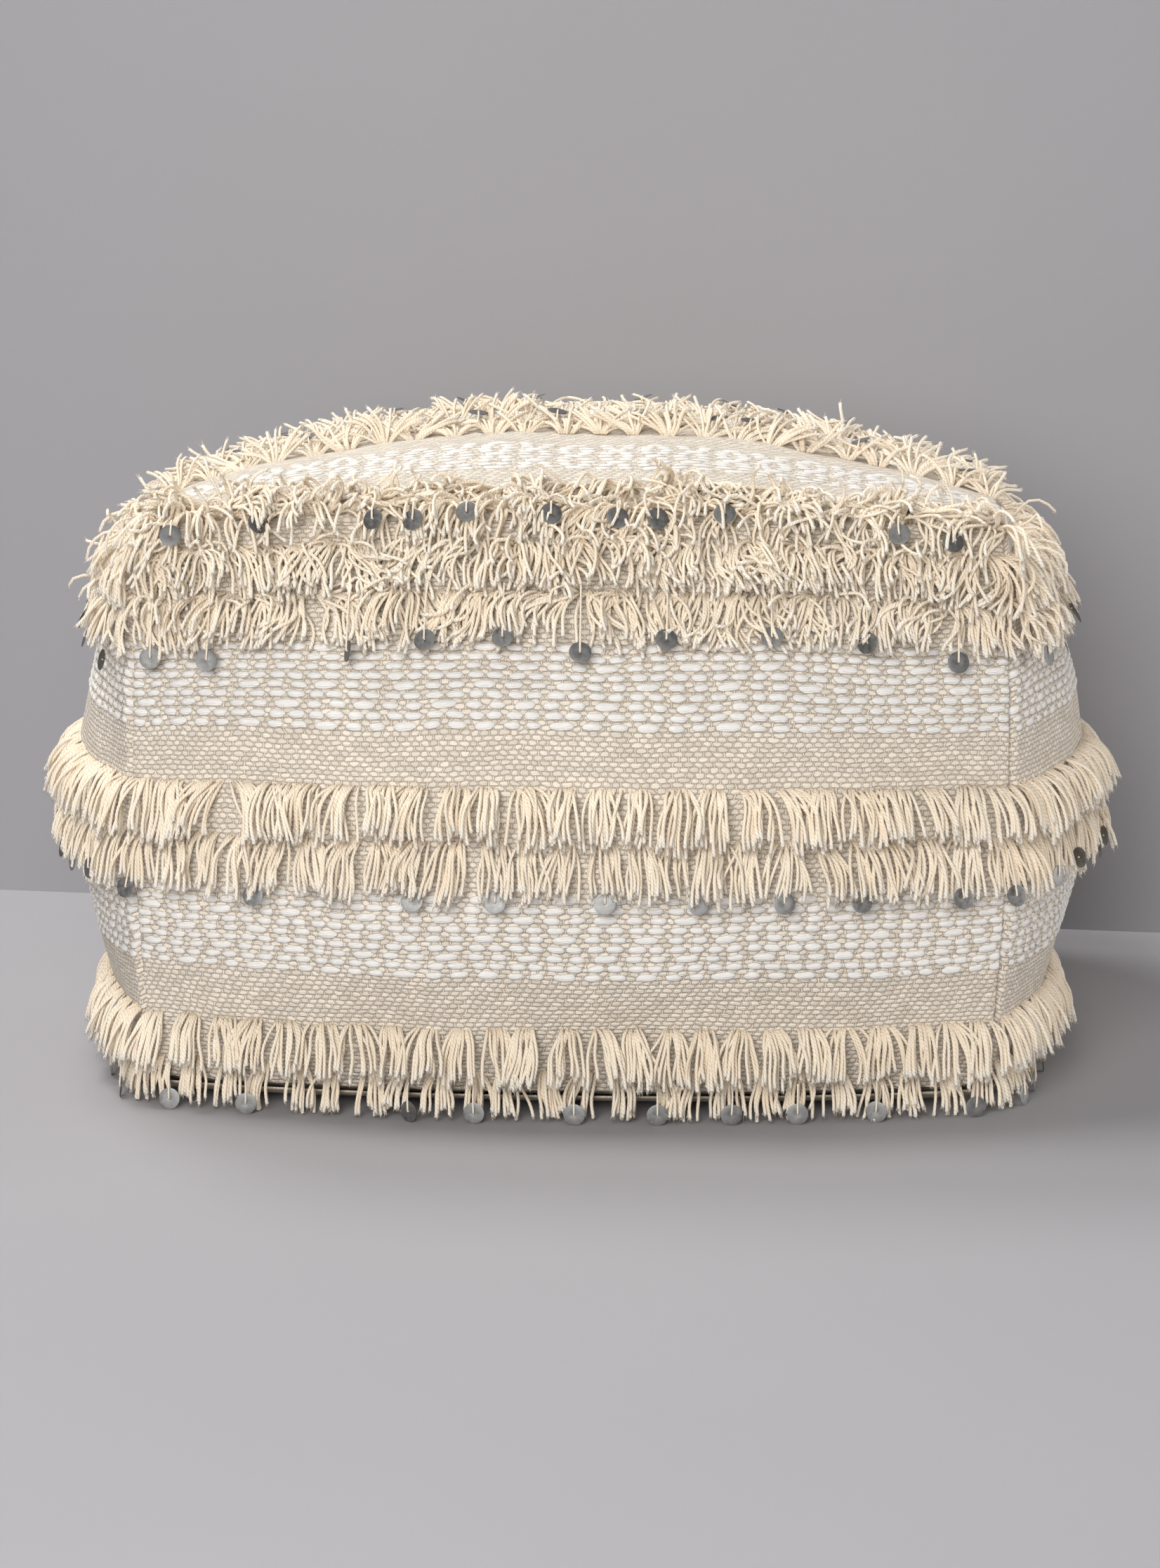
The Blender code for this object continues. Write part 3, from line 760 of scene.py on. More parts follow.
def ground_group():
    """The ground weave in millimetres of cloth: short weft floats in rows, each row shifted
    against the last, with a thin upright warp tick between neighbours. A float's height is
    the root of 1 - (2.05 t)^2 - (2.3 x)^3."""
    tree, start, end = effect(
        "ground weave",
        [("Place", VECTOR, None), ("Width", FLOAT, 5.7), ("Pitch", FLOAT, 2.95)],
        [("Height", FLOAT), ("Tick", FLOAT), ("Cell", FLOAT)],
    )
    parts = tree.nodes.new("ShaderNodeSeparateXYZ")
    tree.links.new(start.outputs["Place"], parts.inputs[0])
    across, down = parts.outputs[0], parts.outputs[1]
    rows = reckon(tree, "DIVIDE", down, start.outputs["Pitch"])
    row = reckon(tree, "FLOOR", rows)
    t = reckon(tree, "SUBTRACT", reckon(tree, "FRACT", rows), 0.5)
    lower = reckon(tree, "GREATER_THAN", down, LOOSE_GROUND_FROM)
    shift = reckon(tree, "MULTIPLY_ADD", lower, -0.13, 0.5)
    along = reckon(tree, "DIVIDE", across, start.outputs["Width"])
    along = reckon(tree, "MULTIPLY_ADD", row, shift, along)
    column = reckon(tree, "FLOOR", along)
    x = reckon(tree, "SUBTRACT", reckon(tree, "FRACT", along), 0.5)
    x = reckon(tree, "ABSOLUTE", x)
    t2 = reckon(tree, "POWER", reckon(tree, "ABSOLUTE", reckon(tree, "MULTIPLY", t, 2.05)), 2.0)
    x3 = reckon(tree, "POWER", reckon(tree, "MULTIPLY", x, 2.3), 3.0)
    bump = reckon(tree, "SUBTRACT", 1.0, reckon(tree, "ADD", t2, x3), clamp=True)
    bump = reckon(tree, "SQRT", bump)
    tick = eased(tree, x, 0.425, 0.47)
    tree.links.new(bump, end.inputs["Height"])
    tree.links.new(tick, end.inputs["Tick"])
    seed = tree.nodes.new("ShaderNodeTexWhiteNoise")
    seed.noise_dimensions = "2D"
    joined = tree.nodes.new("ShaderNodeCombineXYZ")
    tree.links.new(column, joined.inputs[0])
    tree.links.new(row, joined.inputs[1])
    tree.links.new(joined.outputs[0], seed.inputs["Vector"])
    tree.links.new(seed.outputs["Value"], end.inputs["Cell"])
    return tree


def yarn_group():
    """Two plies twisted round each other: stripes that climb once round for every Pitch of length.
    The place's x goes round the yarn from 0 to 1 and its y along it in metres. The second output
    masks the grooves between the plies for painted shade."""
    tree, start, end = effect(
        "twisted yarn",
        [("Place", VECTOR, None), ("Pitch", FLOAT, 0.0048)],
        [("Height", FLOAT), ("Groove shade", FLOAT)],
    )
    parts = tree.nodes.new("ShaderNodeSeparateXYZ")
    tree.links.new(start.outputs["Place"], parts.inputs[0])
    turns = reckon(tree, "DIVIDE", parts.outputs[1], start.outputs["Pitch"])
    wave = reckon(tree, "ADD", parts.outputs[0], turns)
    wave = reckon(tree, "SINE", reckon(tree, "MULTIPLY", wave, 2 * math.pi))
    height = reckon(tree, "ABSOLUTE", wave)
    tree.links.new(reckon(tree, "POWER", height, 0.6), end.inputs["Height"])
    # Mask for painted shade in the grooves between the plies.
    tree.links.new(eased(tree, height, 0.45, 0.0), end.inputs["Groove shade"])
    return tree


def fibres_group():
    """Fine fuzz and slow colour drift of spun cotton, from noise at the given place."""
    tree, start, end = effect(
        "cotton fibres",
        [("Place", VECTOR, None)],
        [("Fuzz", FLOAT), ("Drift", FLOAT), ("Fleck", FLOAT)],
    )
    place = start.outputs["Place"]
    tree.links.new(grainy(tree, place, 2600.0, 2.0, 0.7), end.inputs["Fuzz"])
    tree.links.new(grainy(tree, place, 28.0, 2.0, 0.55), end.inputs["Drift"])
    spots = tree.nodes.new("ShaderNodeTexVoronoi")
    spots.inputs["Scale"].default_value = 55.0
    tree.links.new(place, spots.inputs["Vector"])
    near = eased(tree, spots.outputs["Distance"], 0.075, 0.035)
    pick = tree.nodes.new("ShaderNodeSeparateColor")
    tree.links.new(spots.outputs["Color"], pick.inputs[0])
    tree.links.new(
        reckon(tree, "MULTIPLY", near, reckon(tree, "GREATER_THAN", pick.outputs[0], 0.82)),
        end.inputs["Fleck"],
    )
    return tree


def scratches_group():
    """Fine straight scratches in two directions and dull blotches on thin metal."""
    tree, start, end = effect(
        "handled metal",
        [("Place", VECTOR, None)],
        [("Scratch", FLOAT), ("Blotch", FLOAT)],
    )
    place = start.outputs["Place"]
    first = grainy(tree, stretched(tree, place, (260.0, 900.0, 6000.0)), 1.0, 3.0, 0.7)
    second = grainy(tree, stretched(tree, place, (6200.0, 900.0, 300.0)), 1.0, 3.0, 0.7)
    both = reckon(tree, "MULTIPLY", first, second)
    tree.links.new(eased(tree, both, 0.20, 0.42), end.inputs["Scratch"])
    tree.links.new(grainy(tree, place, 420.0, 3.0, 0.6), end.inputs["Blotch"])
    return tree


EFFECTS = {
    "white floats": floats_group,
    "ground weave": ground_group,
    "twisted yarn": yarn_group,
    "cotton fibres": fibres_group,
    "handled metal": scratches_group,
}


def effect_named(name):
    """The effect of that name, built the first time that it is asked for."""
    return bpy.data.node_groups.get(name) or EFFECTS[name]()


def woven_cotton(name="woven cotton", crevice_shade=0.72):
    """Banded cotton: ground weave everywhere, white floats over it in the bands. The second
    argument is how strongly painted shade darkens the deep places between the yarns."""
    known = bpy.data.materials.get(name)
    if known:
        return known
    cloth = settings("cloth")
    made, tree, shader = plain_material(name, cloth.ground_colour, 0.92, sheen=0.12)
    place = cloth_place(tree)
    in_mm = stretched(tree, place, PER_MM)
    wander = tree.nodes.new("ShaderNodeTexNoise")
    tree.links.new(place, wander.inputs["Vector"])
    wander.inputs["Scale"].default_value = 170.0
    wander.inputs["Detail"].default_value = 1.0
    centred = tree.nodes.new("ShaderNodeVectorMath")
    centred.operation = "SUBTRACT"
    tree.links.new(wander.outputs["Color"], centred.inputs[0])
    centred.inputs[1].default_value = (0.5, 0.5, 0.5)
    loose = tree.nodes.new("ShaderNodeVectorMath")
    loose.operation = "MULTIPLY_ADD"
    tree.links.new(centred.outputs[0], loose.inputs[0])
    loose.inputs[1].default_value = (4.2, 1.9, 0.0)
    tree.links.new(in_mm, loose.inputs[2])
    gentle = tree.nodes.new("ShaderNodeVectorMath")
    gentle.operation = "MULTIPLY_ADD"
    tree.links.new(centred.outputs[0], gentle.inputs[0])
    gentle.inputs[1].default_value = (2.2, 1.2, 0.0)
    tree.links.new(in_mm, gentle.inputs[2])
    ground = placed(tree, effect_named("ground weave"), Place=loose.outputs[0])
    floats = placed(tree, effect_named("white floats"), Place=gentle.outputs[0])
    fibres = placed(tree, effect_named("cotton fibres"), Place=place)
    lines = grainy(tree, stretched(tree, place, (230.0, 1150.0, 1.0)), 1.0, 2.0, 0.6)
    parts = tree.nodes.new("ShaderNodeSeparateXYZ")
    tree.links.new(gentle.outputs[0], parts.inputs[0])
    strand = reckon(
        tree,
        "SINE",
        reckon(
            tree,
            "MULTIPLY_ADD",
            parts.outputs[0],
            0.55,
            reckon(tree, "MULTIPLY", parts.outputs[1], 2 * math.pi / 1.12),
        ),
    )
    white = floats.outputs["White"]
    tick = reckon(
        tree, "MULTIPLY", ground.outputs["Tick"], reckon(tree, "SUBTRACT", 1.0, white)
    )
    # Painted shade mask: the low places of the ground weave, away from its ticks and the white
    # floats.
    low = reckon(tree, "SUBTRACT", 1.0, eased(tree, ground.outputs["Height"], 0.0, 0.5))
    low = reckon(tree, "MULTIPLY", low, reckon(tree, "SUBTRACT", 1.0, tick))
    low = reckon(tree, "MULTIPLY", low, reckon(tree, "SUBTRACT", 1.0, white))
    height = reckon(tree, "MULTIPLY", ground.outputs["Height"], 0.85)
    height = reckon(tree, "MULTIPLY_ADD", tick, 0.5, height)
    height = reckon(tree, "MULTIPLY", height, reckon(tree, "SUBTRACT", 1.0, white))
    height = reckon(tree, "MULTIPLY_ADD", floats.outputs["Height"], 1.15, height)
    height = reckon(tree, "MULTIPLY_ADD", strand, 0.075, height)
    height = reckon(tree, "MULTIPLY_ADD", lines, 0.34, height)
    height = reckon(tree, "MULTIPLY_ADD", fibres.outputs["Fuzz"], 0.12, height)
    raised(tree, shader, height, 0.001, 1.0)
    tint = eased(tree, ground.outputs["Cell"], 0.0, 1.0, 0.86, 1.08)
    shade = tree.nodes.new("ShaderNodeCombineColor")
    for socket in shade.inputs:
        tree.links.new(tint, socket)
    colour = blended(tree, 1.0, tuple(cloth.ground_colour), shade.outputs[0], "MULTIPLY")
    drift = eased(tree, fibres.outputs["Drift"], 0.42, 0.75, 0.0, 0.35)
    colour = blended(tree, drift, colour, (0.88, 0.83, 0.74))
    colour = blended(tree, reckon(tree, "MULTIPLY", tick, 0.55), colour, (0.90, 0.80, 0.67))
    # Painted shade deep between the yarns, as strong as the second argument says.
    deep = reckon(tree, "MULTIPLY", low, crevice_shade)
    colour = blended(tree, deep, colour, tuple(cloth.painted_shade_colour))
    pale = blended(
        tree, eased(tree, lines, 0.35, 0.75), (0.83, 0.80, 0.755), tuple(cloth.float_colour)
    )
    # Painted shadow along the lower edge of each white float.
    colour = blended(
        tree,
        reckon(tree, "MULTIPLY", floats.outputs["Painted shadow"], 0.6),
        colour,
        tuple(cloth.painted_shade_colour),
    )
    colour = blended(tree, white, colour, pale)
    colour = blended(
        tree, reckon(tree, "MULTIPLY", fibres.outputs["Fleck"], 0.5), colour, (0.20, 0.15, 0.10)
    )
    tree.links.new(colour, shader.inputs["Base Color"])
    return made


def fringe_yarn():
    """Two-ply cotton yarn: warm painted shade near the cloth and in the grooves between its plies,
    pale and fuzzy at its cut end.
    """
    known = bpy.data.materials.get("fringe yarn")
    if known:
        return known
    fringe = settings("fringe")
    made, tree, shader = plain_material("fringe yarn", fringe.colour, 0.9, sheen=0.15)
    place = cloth_place(tree)
    twist = placed(tree, effect_named("twisted yarn"), Place=place)
    fibres = placed(tree, effect_named("cotton fibres"), Place=object_place(tree))
    tone = tree.nodes.new("ShaderNodeAttribute")
    tone.attribute_name = "tone"
    split = tree.nodes.new("ShaderNodeSeparateColor")
    tree.links.new(tone.outputs["Color"], split.inputs[0])
    own, along = split.outputs[0], split.outputs[1]
    colour = blended(tree, own, (0.87, 0.735, 0.565), tuple(fringe.colour))
    # Painted shade near the cloth, where the strands leave it: browner towards the root.
    colour = blended(
        tree, eased(tree, along, 0.30, 0.0, 0.0, 0.35), colour, (0.74, 0.59, 0.43)
    )
    cut = eased(tree, along, 0.80, 1.0, 0.0, 0.85)
    colour = blended(tree, cut, colour, tuple(fringe.end_colour))
    # Painted shade in the grooves between the plies.
    colour = blended(
        tree, reckon(tree, "MULTIPLY", twist.outputs["Groove shade"], 0.42), colour, (0.56, 0.41, 0.26)
    )
    colour = blended(
        tree, eased(tree, fibres.outputs["Fuzz"], 0.55, 0.8, 0.0, 0.35), colour, (0.95, 0.91, 0.84)
    )
    tree.links.new(colour, shader.inputs["Base Color"])
    height = reckon(tree, "MULTIPLY_ADD", fibres.outputs["Fuzz"], 0.25, twist.outputs["Height"])
    raised(tree, shader, height, 0.00028, 1.0)
    return made


def base_canvas():
    """Plain heavy canvas: a fine square weave with slubs and painted shade in its low places."""
    known = bpy.data.materials.get("base canvas")
    if known:
        return known
    made, tree, shader = plain_material(
        "base canvas", settings("underside").canvas_colour, 0.9, sheen=0.08
    )
    place = cloth_place(tree)
    in_mm = stretched(tree, place, PER_MM)
    ground = placed(tree, effect_named("ground weave"), Place=in_mm, Width=1.5, Pitch=0.85)
    fibres = placed(tree, effect_named("cotton fibres"), Place=place)
    colour = blended(
        tree,
        ground.outputs["Cell"],
        tuple(settings("underside").canvas_colour),
        (0.70, 0.62, 0.51),
    )
    # Painted shade in the low places of the weave.
    low = reckon(tree, "SUBTRACT", 1.0, eased(tree, ground.outputs["Height"], 0.0, 0.45))
    colour = blended(tree, reckon(tree, "MULTIPLY", low, 0.5), colour, (0.34, 0.27, 0.2))
    colour = blended(
        tree, reckon(tree, "MULTIPLY", fibres.outputs["Fleck"], 0.4), colour, (0.25, 0.19, 0.13)
    )
    tree.links.new(colour, shader.inputs["Base Color"])
    height = reckon(tree, "MULTIPLY_ADD", fibres.outputs["Fuzz"], 0.3, ground.outputs["Height"])
    raised(tree, shader, height, 0.0003, 0.9)
    return made


def lining_cotton():
    """Thin plain cloth of the inner bag."""
    made, tree, shader = plain_material("lining cotton", (0.72, 0.68, 0.60), 0.85, sheen=0.1)
    in_mm = stretched(tree, object_place(tree), PER_MM)
    ground = placed(tree, effect_named("ground weave"), Place=in_mm, Width=1.0, Pitch=0.6)
    fibres = placed(tree, effect_named("cotton fibres"), Place=object_place(tree))
    colour = blended(tree, fibres.outputs["Drift"], (0.64, 0.59, 0.50), (0.78, 0.74, 0.66))
    tree.links.new(colour, shader.inputs["Base Color"])
    raised(tree, shader, ground.outputs["Height"], 0.0002, 0.8)
    return made


def stuffing_fibre():
    """Loose white fibre, packed."""
    made, tree, shader = plain_material("stuffing fibre", (0.80, 0.79, 0.76), 0.95, sheen=0.3)
    place = object_place(tree)
    fibres = placed(tree, effect_named("cotton fibres"), Place=place)
    tufted = grainy(tree, place, 60.0, 5.0, 0.65)
    colour = blended(tree, tufted, (0.70, 0.68, 0.64), (0.86, 0.85, 0.83))
    tree.links.new(colour, shader.inputs["Base Color"])
    height = reckon(tree, "MULTIPLY_ADD", fibres.outputs["Fuzz"], 0.2, tufted)
    raised(tree, shader, height, 0.004, 0.8)
    return made


def sequin_metal(name="sequin metal", shade=1.0):
    """Dull silver with fine scratches and blotches."""
    known = bpy.data.materials.get(name)
    if known:
        return known
    colour = tuple(c * shade for c in settings("sequins").metal_colour)
    made, tree, shader = plain_material(name, colour, 0.5, 1.0)
    worn = placed(tree, effect_named("handled metal"), Place=object_place(tree))
    dark = tuple(c * 0.72 for c in colour)
    light = tuple(min(1.0, c * 1.35) for c in colour)
    mixed = blended(tree, eased(tree, worn.outputs["Blotch"], 0.35, 0.7), dark, colour)
    mixed = blended(tree, reckon(tree, "MULTIPLY", worn.outputs["Scratch"], 0.5), mixed, light)
    tree.links.new(mixed, shader.inputs["Base Color"])
    rough = eased(tree, worn.outputs["Blotch"], 0.3, 0.75, 0.48, 0.66)
    tree.links.new(
        reckon(tree, "MULTIPLY_ADD", worn.outputs["Scratch"], -0.08, rough),
        shader.inputs["Roughness"],
    )
    raised(tree, shader, worn.outputs["Scratch"], 0.00003, 0.6)
    return made


def zip_tape_cloth():
    """Close-woven tape in the colour of the cover, with painted shade in the low places of
    its weave.
    """
    made, tree, shader = plain_material(
        "zip tape cloth", settings("underside").tape_colour, 0.82, sheen=0.05
    )
    place = stretched(tree, cloth_place(tree), PER_MM)
    ground = placed(tree, effect_named("ground weave"), Place=place, Width=0.9, Pitch=0.7)
    # Painted shade in the low places of the weave.
    low = reckon(tree, "SUBTRACT", 1.0, ground.outputs["Height"])
    colour = blended(
        tree,
        reckon(tree, "MULTIPLY", low, 0.45),
        tuple(settings("underside").tape_colour),
        (0.42, 0.38, 0.31),
    )
    tree.links.new(colour, shader.inputs["Base Color"])
    raised(tree, shader, ground.outputs["Height"], 0.0002, 0.8)
    return made


def zip_coil_plastic():
    """Smooth pale plastic with a slight drift of colour."""
    made, tree, shader = plain_material("zip coil plastic", (0.76, 0.72, 0.63), 0.38)
    fibres = placed(tree, effect_named("cotton fibres"), Place=object_place(tree))
    colour = blended(tree, fibres.outputs["Drift"], (0.70, 0.66, 0.57), (0.80, 0.76, 0.68))
    tree.links.new(colour, shader.inputs["Base Color"])
    return made


def zip_metal():
    """Brushed nickel with wear: darker in blotches, brighter along scratches."""
    made, tree, shader = plain_material("zip metal", (0.56, 0.55, 0.53), 0.33, 1.0)
    worn = placed(tree, effect_named("handled metal"), Place=object_place(tree))
    dull = eased(tree, worn.outputs["Blotch"], 0.3, 0.7)
    colour = blended(tree, dull, (0.40, 0.385, 0.36), (0.62, 0.61, 0.59))
    colour = blended(
        tree, reckon(tree, "MULTIPLY", worn.outputs["Scratch"], 0.6), colour, (0.82, 0.81, 0.79)
    )
    tree.links.new(colour, shader.inputs["Base Color"])
    tree.links.new(
        eased(tree, worn.outputs["Blotch"], 0.3, 0.75, 0.24, 0.46), shader.inputs["Roughness"]
    )
    raised(tree, shader, worn.outputs["Scratch"], 0.00003, 0.5)
    return made


# ------------------------------------------------------------------ cover panels
def float_relief(across, down):
    """Height of the white floats in the mesh, from 0 to 1, by the same ovals as the material, for
    distances over the cloth in millimetres."""
    down = np.mod(down, WEAVE_REPEAT)
    rows = (down - BAND_START) / FLOAT_ROW
    row = np.floor(rows)
    t = (rows - row - 0.5) * FLOAT_ROW
    even = np.mod(across + np.mod(row, 4) * FLOAT_PERIOD / 4 + FLOAT_PERIOD / 2, FLOAT_PERIOD)
    even -= FLOAT_PERIOD / 2
    odd = np.mod(across + FLOAT_PERIOD / 4, FLOAT_PERIOD / 2) - FLOAT_PERIOD / 4

    def oval(x, size):
        return np.abs(x / size[0]) ** OVAL_POWER + (t / size[1]) ** 2

    in_even = np.minimum(oval(even, LARGE_FLOAT), oval(np.abs(even) - SMALL_FLOAT_AT, SMALL_FLOAT))
    in_odd = oval(np.abs(odd) - PAIRED_FLOAT_AT, PAIRED_FLOAT)
    away = np.where(np.mod(row, 2) > 0.5, in_odd, in_even)
    in_band = (rows > 0) & (rows < BAND_ROWS)
    return np.sqrt(np.clip(1 - away, 0, 1)) * in_band


def stations(half, step):
    """Shares from -1 to 1, about step apart over a width of 2 half, with closer ones at the
    edges where the cloth turns in."""
    edge = 0.012
    inner = np.linspace(-1 + edge, 1 - edge, max(8, int(round(2 * half / step))))
    turn = 1 - edge * np.array([0.0, 0.12, 0.3, 0.6])
    return np.concatenate([-turn, inner, turn[::-1]])


def seam_turn(share, half):
    """How far the cloth turns in beside a seam: 3 mm at the seam itself, gone 4 mm away."""
    away = (1 - np.abs(share)) * half
    return 0.0030 * np.exp(-((away / 0.0019) ** 2))


def cover_panel(name, node, point, a, b, uv_a, uv_b, seed, degrees=0.0, look=None):
    """A sheet of cloth over shares (a, b): point(a, b, out) with out the sum of soft lumps, the
    relief of the floats and the turn-in at its seams."""
    rng = np.random.default_rng(seed)
    body = settings("body")
    bb, aa = np.meshgrid(b, a, indexing="ij")
    u, w = np.meshgrid(uv_a, uv_b)
    flat_place = np.stack([u, w], axis=-1)
    sway = smooth_noise(rng, flat_place, 0.11, 3)
    u = u + 0.0022 * smooth_noise(rng, flat_place, 0.07, 3)
    w = w + 0.0016 * sway
    inner = (1 - np.abs(aa) ** 6) * (1 - np.abs(bb) ** 6)
    lumps = body.unevenness * smooth_noise(rng, flat_place, 0.17, 3) * inner
    beside = np.minimum(1 - np.abs(aa), 1 - np.abs(bb)) * 0.25
    close = np.clip(beside / 0.005, 0, 1)
    pucker = 0.0009 * smooth_noise(rng, flat_place, 0.022, 1) * np.exp(-beside / 0.014) * close
    half = body.corner_span / 2
    turn = np.maximum(seam_turn(aa, half), seam_turn(bb, half * 0.7))
    relief = 0.00115 * float_relief(u * 1000, w * 1000) * close
    out = -0.0006 + lumps + pucker + relief - turn
    points = turned(point(aa, bb, out), degrees)
    faces = grid_faces(len(b), len(a))
    uv = np.stack([u, w], axis=-1).reshape(-1, 2)[faces]
    item = make_piece(name, points, [faces], look or woven_cotton(), [uv])
    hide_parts(node)
    return item


class CUSHION_OT_cover(bpy.types.Operator):
    """Weave the four sides and the top of the cover"""

    bl_idname = "cushion.cover"
    bl_label = "Cover panels"

    def execute(self, context):
        cloth = settings("cloth")
        shares, run = side_rule()
        a_shares, a_run = across_rule()
        for k, (side, degrees) in enumerate(SIDES.items()):
            front = side == "front"
            step = 0.0021 if front else 0.0030
            a = stations(0.27, step)
            h = stations(0.176, 0.0015 if front else 0.0020)[::-1]
            u = np.interp(a, a_shares, a_run) + 0.011 * k
            down = np.interp(-h, -shares, run)
            rate = cloth.repeat / cloth.side_repeat
            w = (down - cloth.first_row_down) * rate + cloth.repeat
            cover_panel(
                f"cloth_{side}",
                f"{side}_panel",
                lambda s, t, out: cushion_point(s, -1.0, t, out),
                a,
                h,
                u,
                w,
                10 + k,
                degrees,
            )
        shares, run = top_rule()
        a = stations(0.26, 0.0021)
        b = stations(0.27, 0.0021)[::-1]
        u = np.interp(a, a_shares, a_run) * 0.98
        along = np.interp(b, shares, run)
        w = cloth.top_first_in + cloth.row_pitch - along + 4 * cloth.repeat
        cover_panel(
            "cloth_top",
            "top_panel",
            lambda s, t, out: cushion_point(s, t, 1.0, out),
            a,
            b,
            u,
            w,
            20,
            # The top's copy of the cloth gets weaker painted shade between its yarns.
            look=woven_cotton("woven cotton top", 0.34),
        )
        return {"FINISHED"}


# ------------------------------------------------------------------ fringe
def grown(roots, start, length, clearance, droop, curl, phase, speed, steps=9, lowest=0.0012):
    """Strands grown from their roots a step at a time, all at once: each step turns the last
    direction a little downwards and by curl * sin(phase + speed * step), then moves clear of the
    cushion and of the floor."""
    step = (length / steps)[:, None]
    place = roots.copy()
    direction = start / np.linalg.norm(start, axis=-1, keepdims=True)
    path = [place.copy()]
    for k in range(steps):
        share = (k + 1) / steps
        sway = curl[:, None] * np.sin(phase + speed * (k + 1) * 9 / steps)
        direction = direction - UP * (droop * 9 / steps)[:, None] + sway
        direction /= np.linalg.norm(direction, axis=-1, keepdims=True)
        moved = clear_of_cushion(place + direction * step, clearance * (0.25 + 0.75 * share))
        gone = moved - place
        gone /= np.linalg.norm(gone, axis=-1, keepdims=True) + 1e-12
        place = place + gone * step
        place[:, 2] = np.maximum(place[:, 2], lowest)
        direction = gone
        path.append(place.copy())
    return np.stack(path, axis=1)


def frayed_ends(tips, along, radius, rng, each):
    """Thin spikes that spread from each cut end, every one a three-sided cone."""
    count = len(tips)
    heading = along[:, None, :] + rng.normal(0, 0.30, (count, each, 3))
    heading /= np.linalg.norm(heading, axis=-1, keepdims=True)
    reach = rng.uniform(0.0016, 0.0038, (count, each, 1))
    foot = tips[:, None, :] - heading * 0.0008 + rng.normal(0, radius * 0.45, (count, each, 3))
    helper = np.where(np.abs(heading[..., 2:3]) < 0.8, UP, np.array([1.0, 0.0, 0.0]))
    first = np.cross(heading, helper)
    first /= np.linalg.norm(first, axis=-1, keepdims=True)
    second = np.cross(heading, first)
    angle = np.array([0.0, 2.0944, 4.1888])
    ring = (
        foot[:, :, None, :]
        + 0.00030
        * (
            np.cos(angle)[:, None] * first[:, :, None, :]
            + np.sin(angle)[:, None] * second[:, :, None, :]
        )
    )
    apex = foot + heading * (reach + 0.0008)
    apex[..., 2] = np.maximum(apex[..., 2], 0.0006)
    points = np.concatenate([ring, apex[:, :, None, :]], axis=2).reshape(-1, 3)
    base = 4 * np.arange(count * each)[:, None]
    faces = base[:, :, None] + np.array([[0, 1, 3], [1, 2, 3], [2, 0, 3], [0, 2, 1]])[None]
    return points, faces.reshape(-1, 3)


# How finely the strands are made: the steps along one, the sides round it, the spikes at its cut
# end, and the most strands in a tuft.
FINE_STRANDS = dict(steps=9, sides=6, spikes=6, most=30)
PLAIN_STRANDS = dict(steps=6, sides=5, spikes=3, most=15)


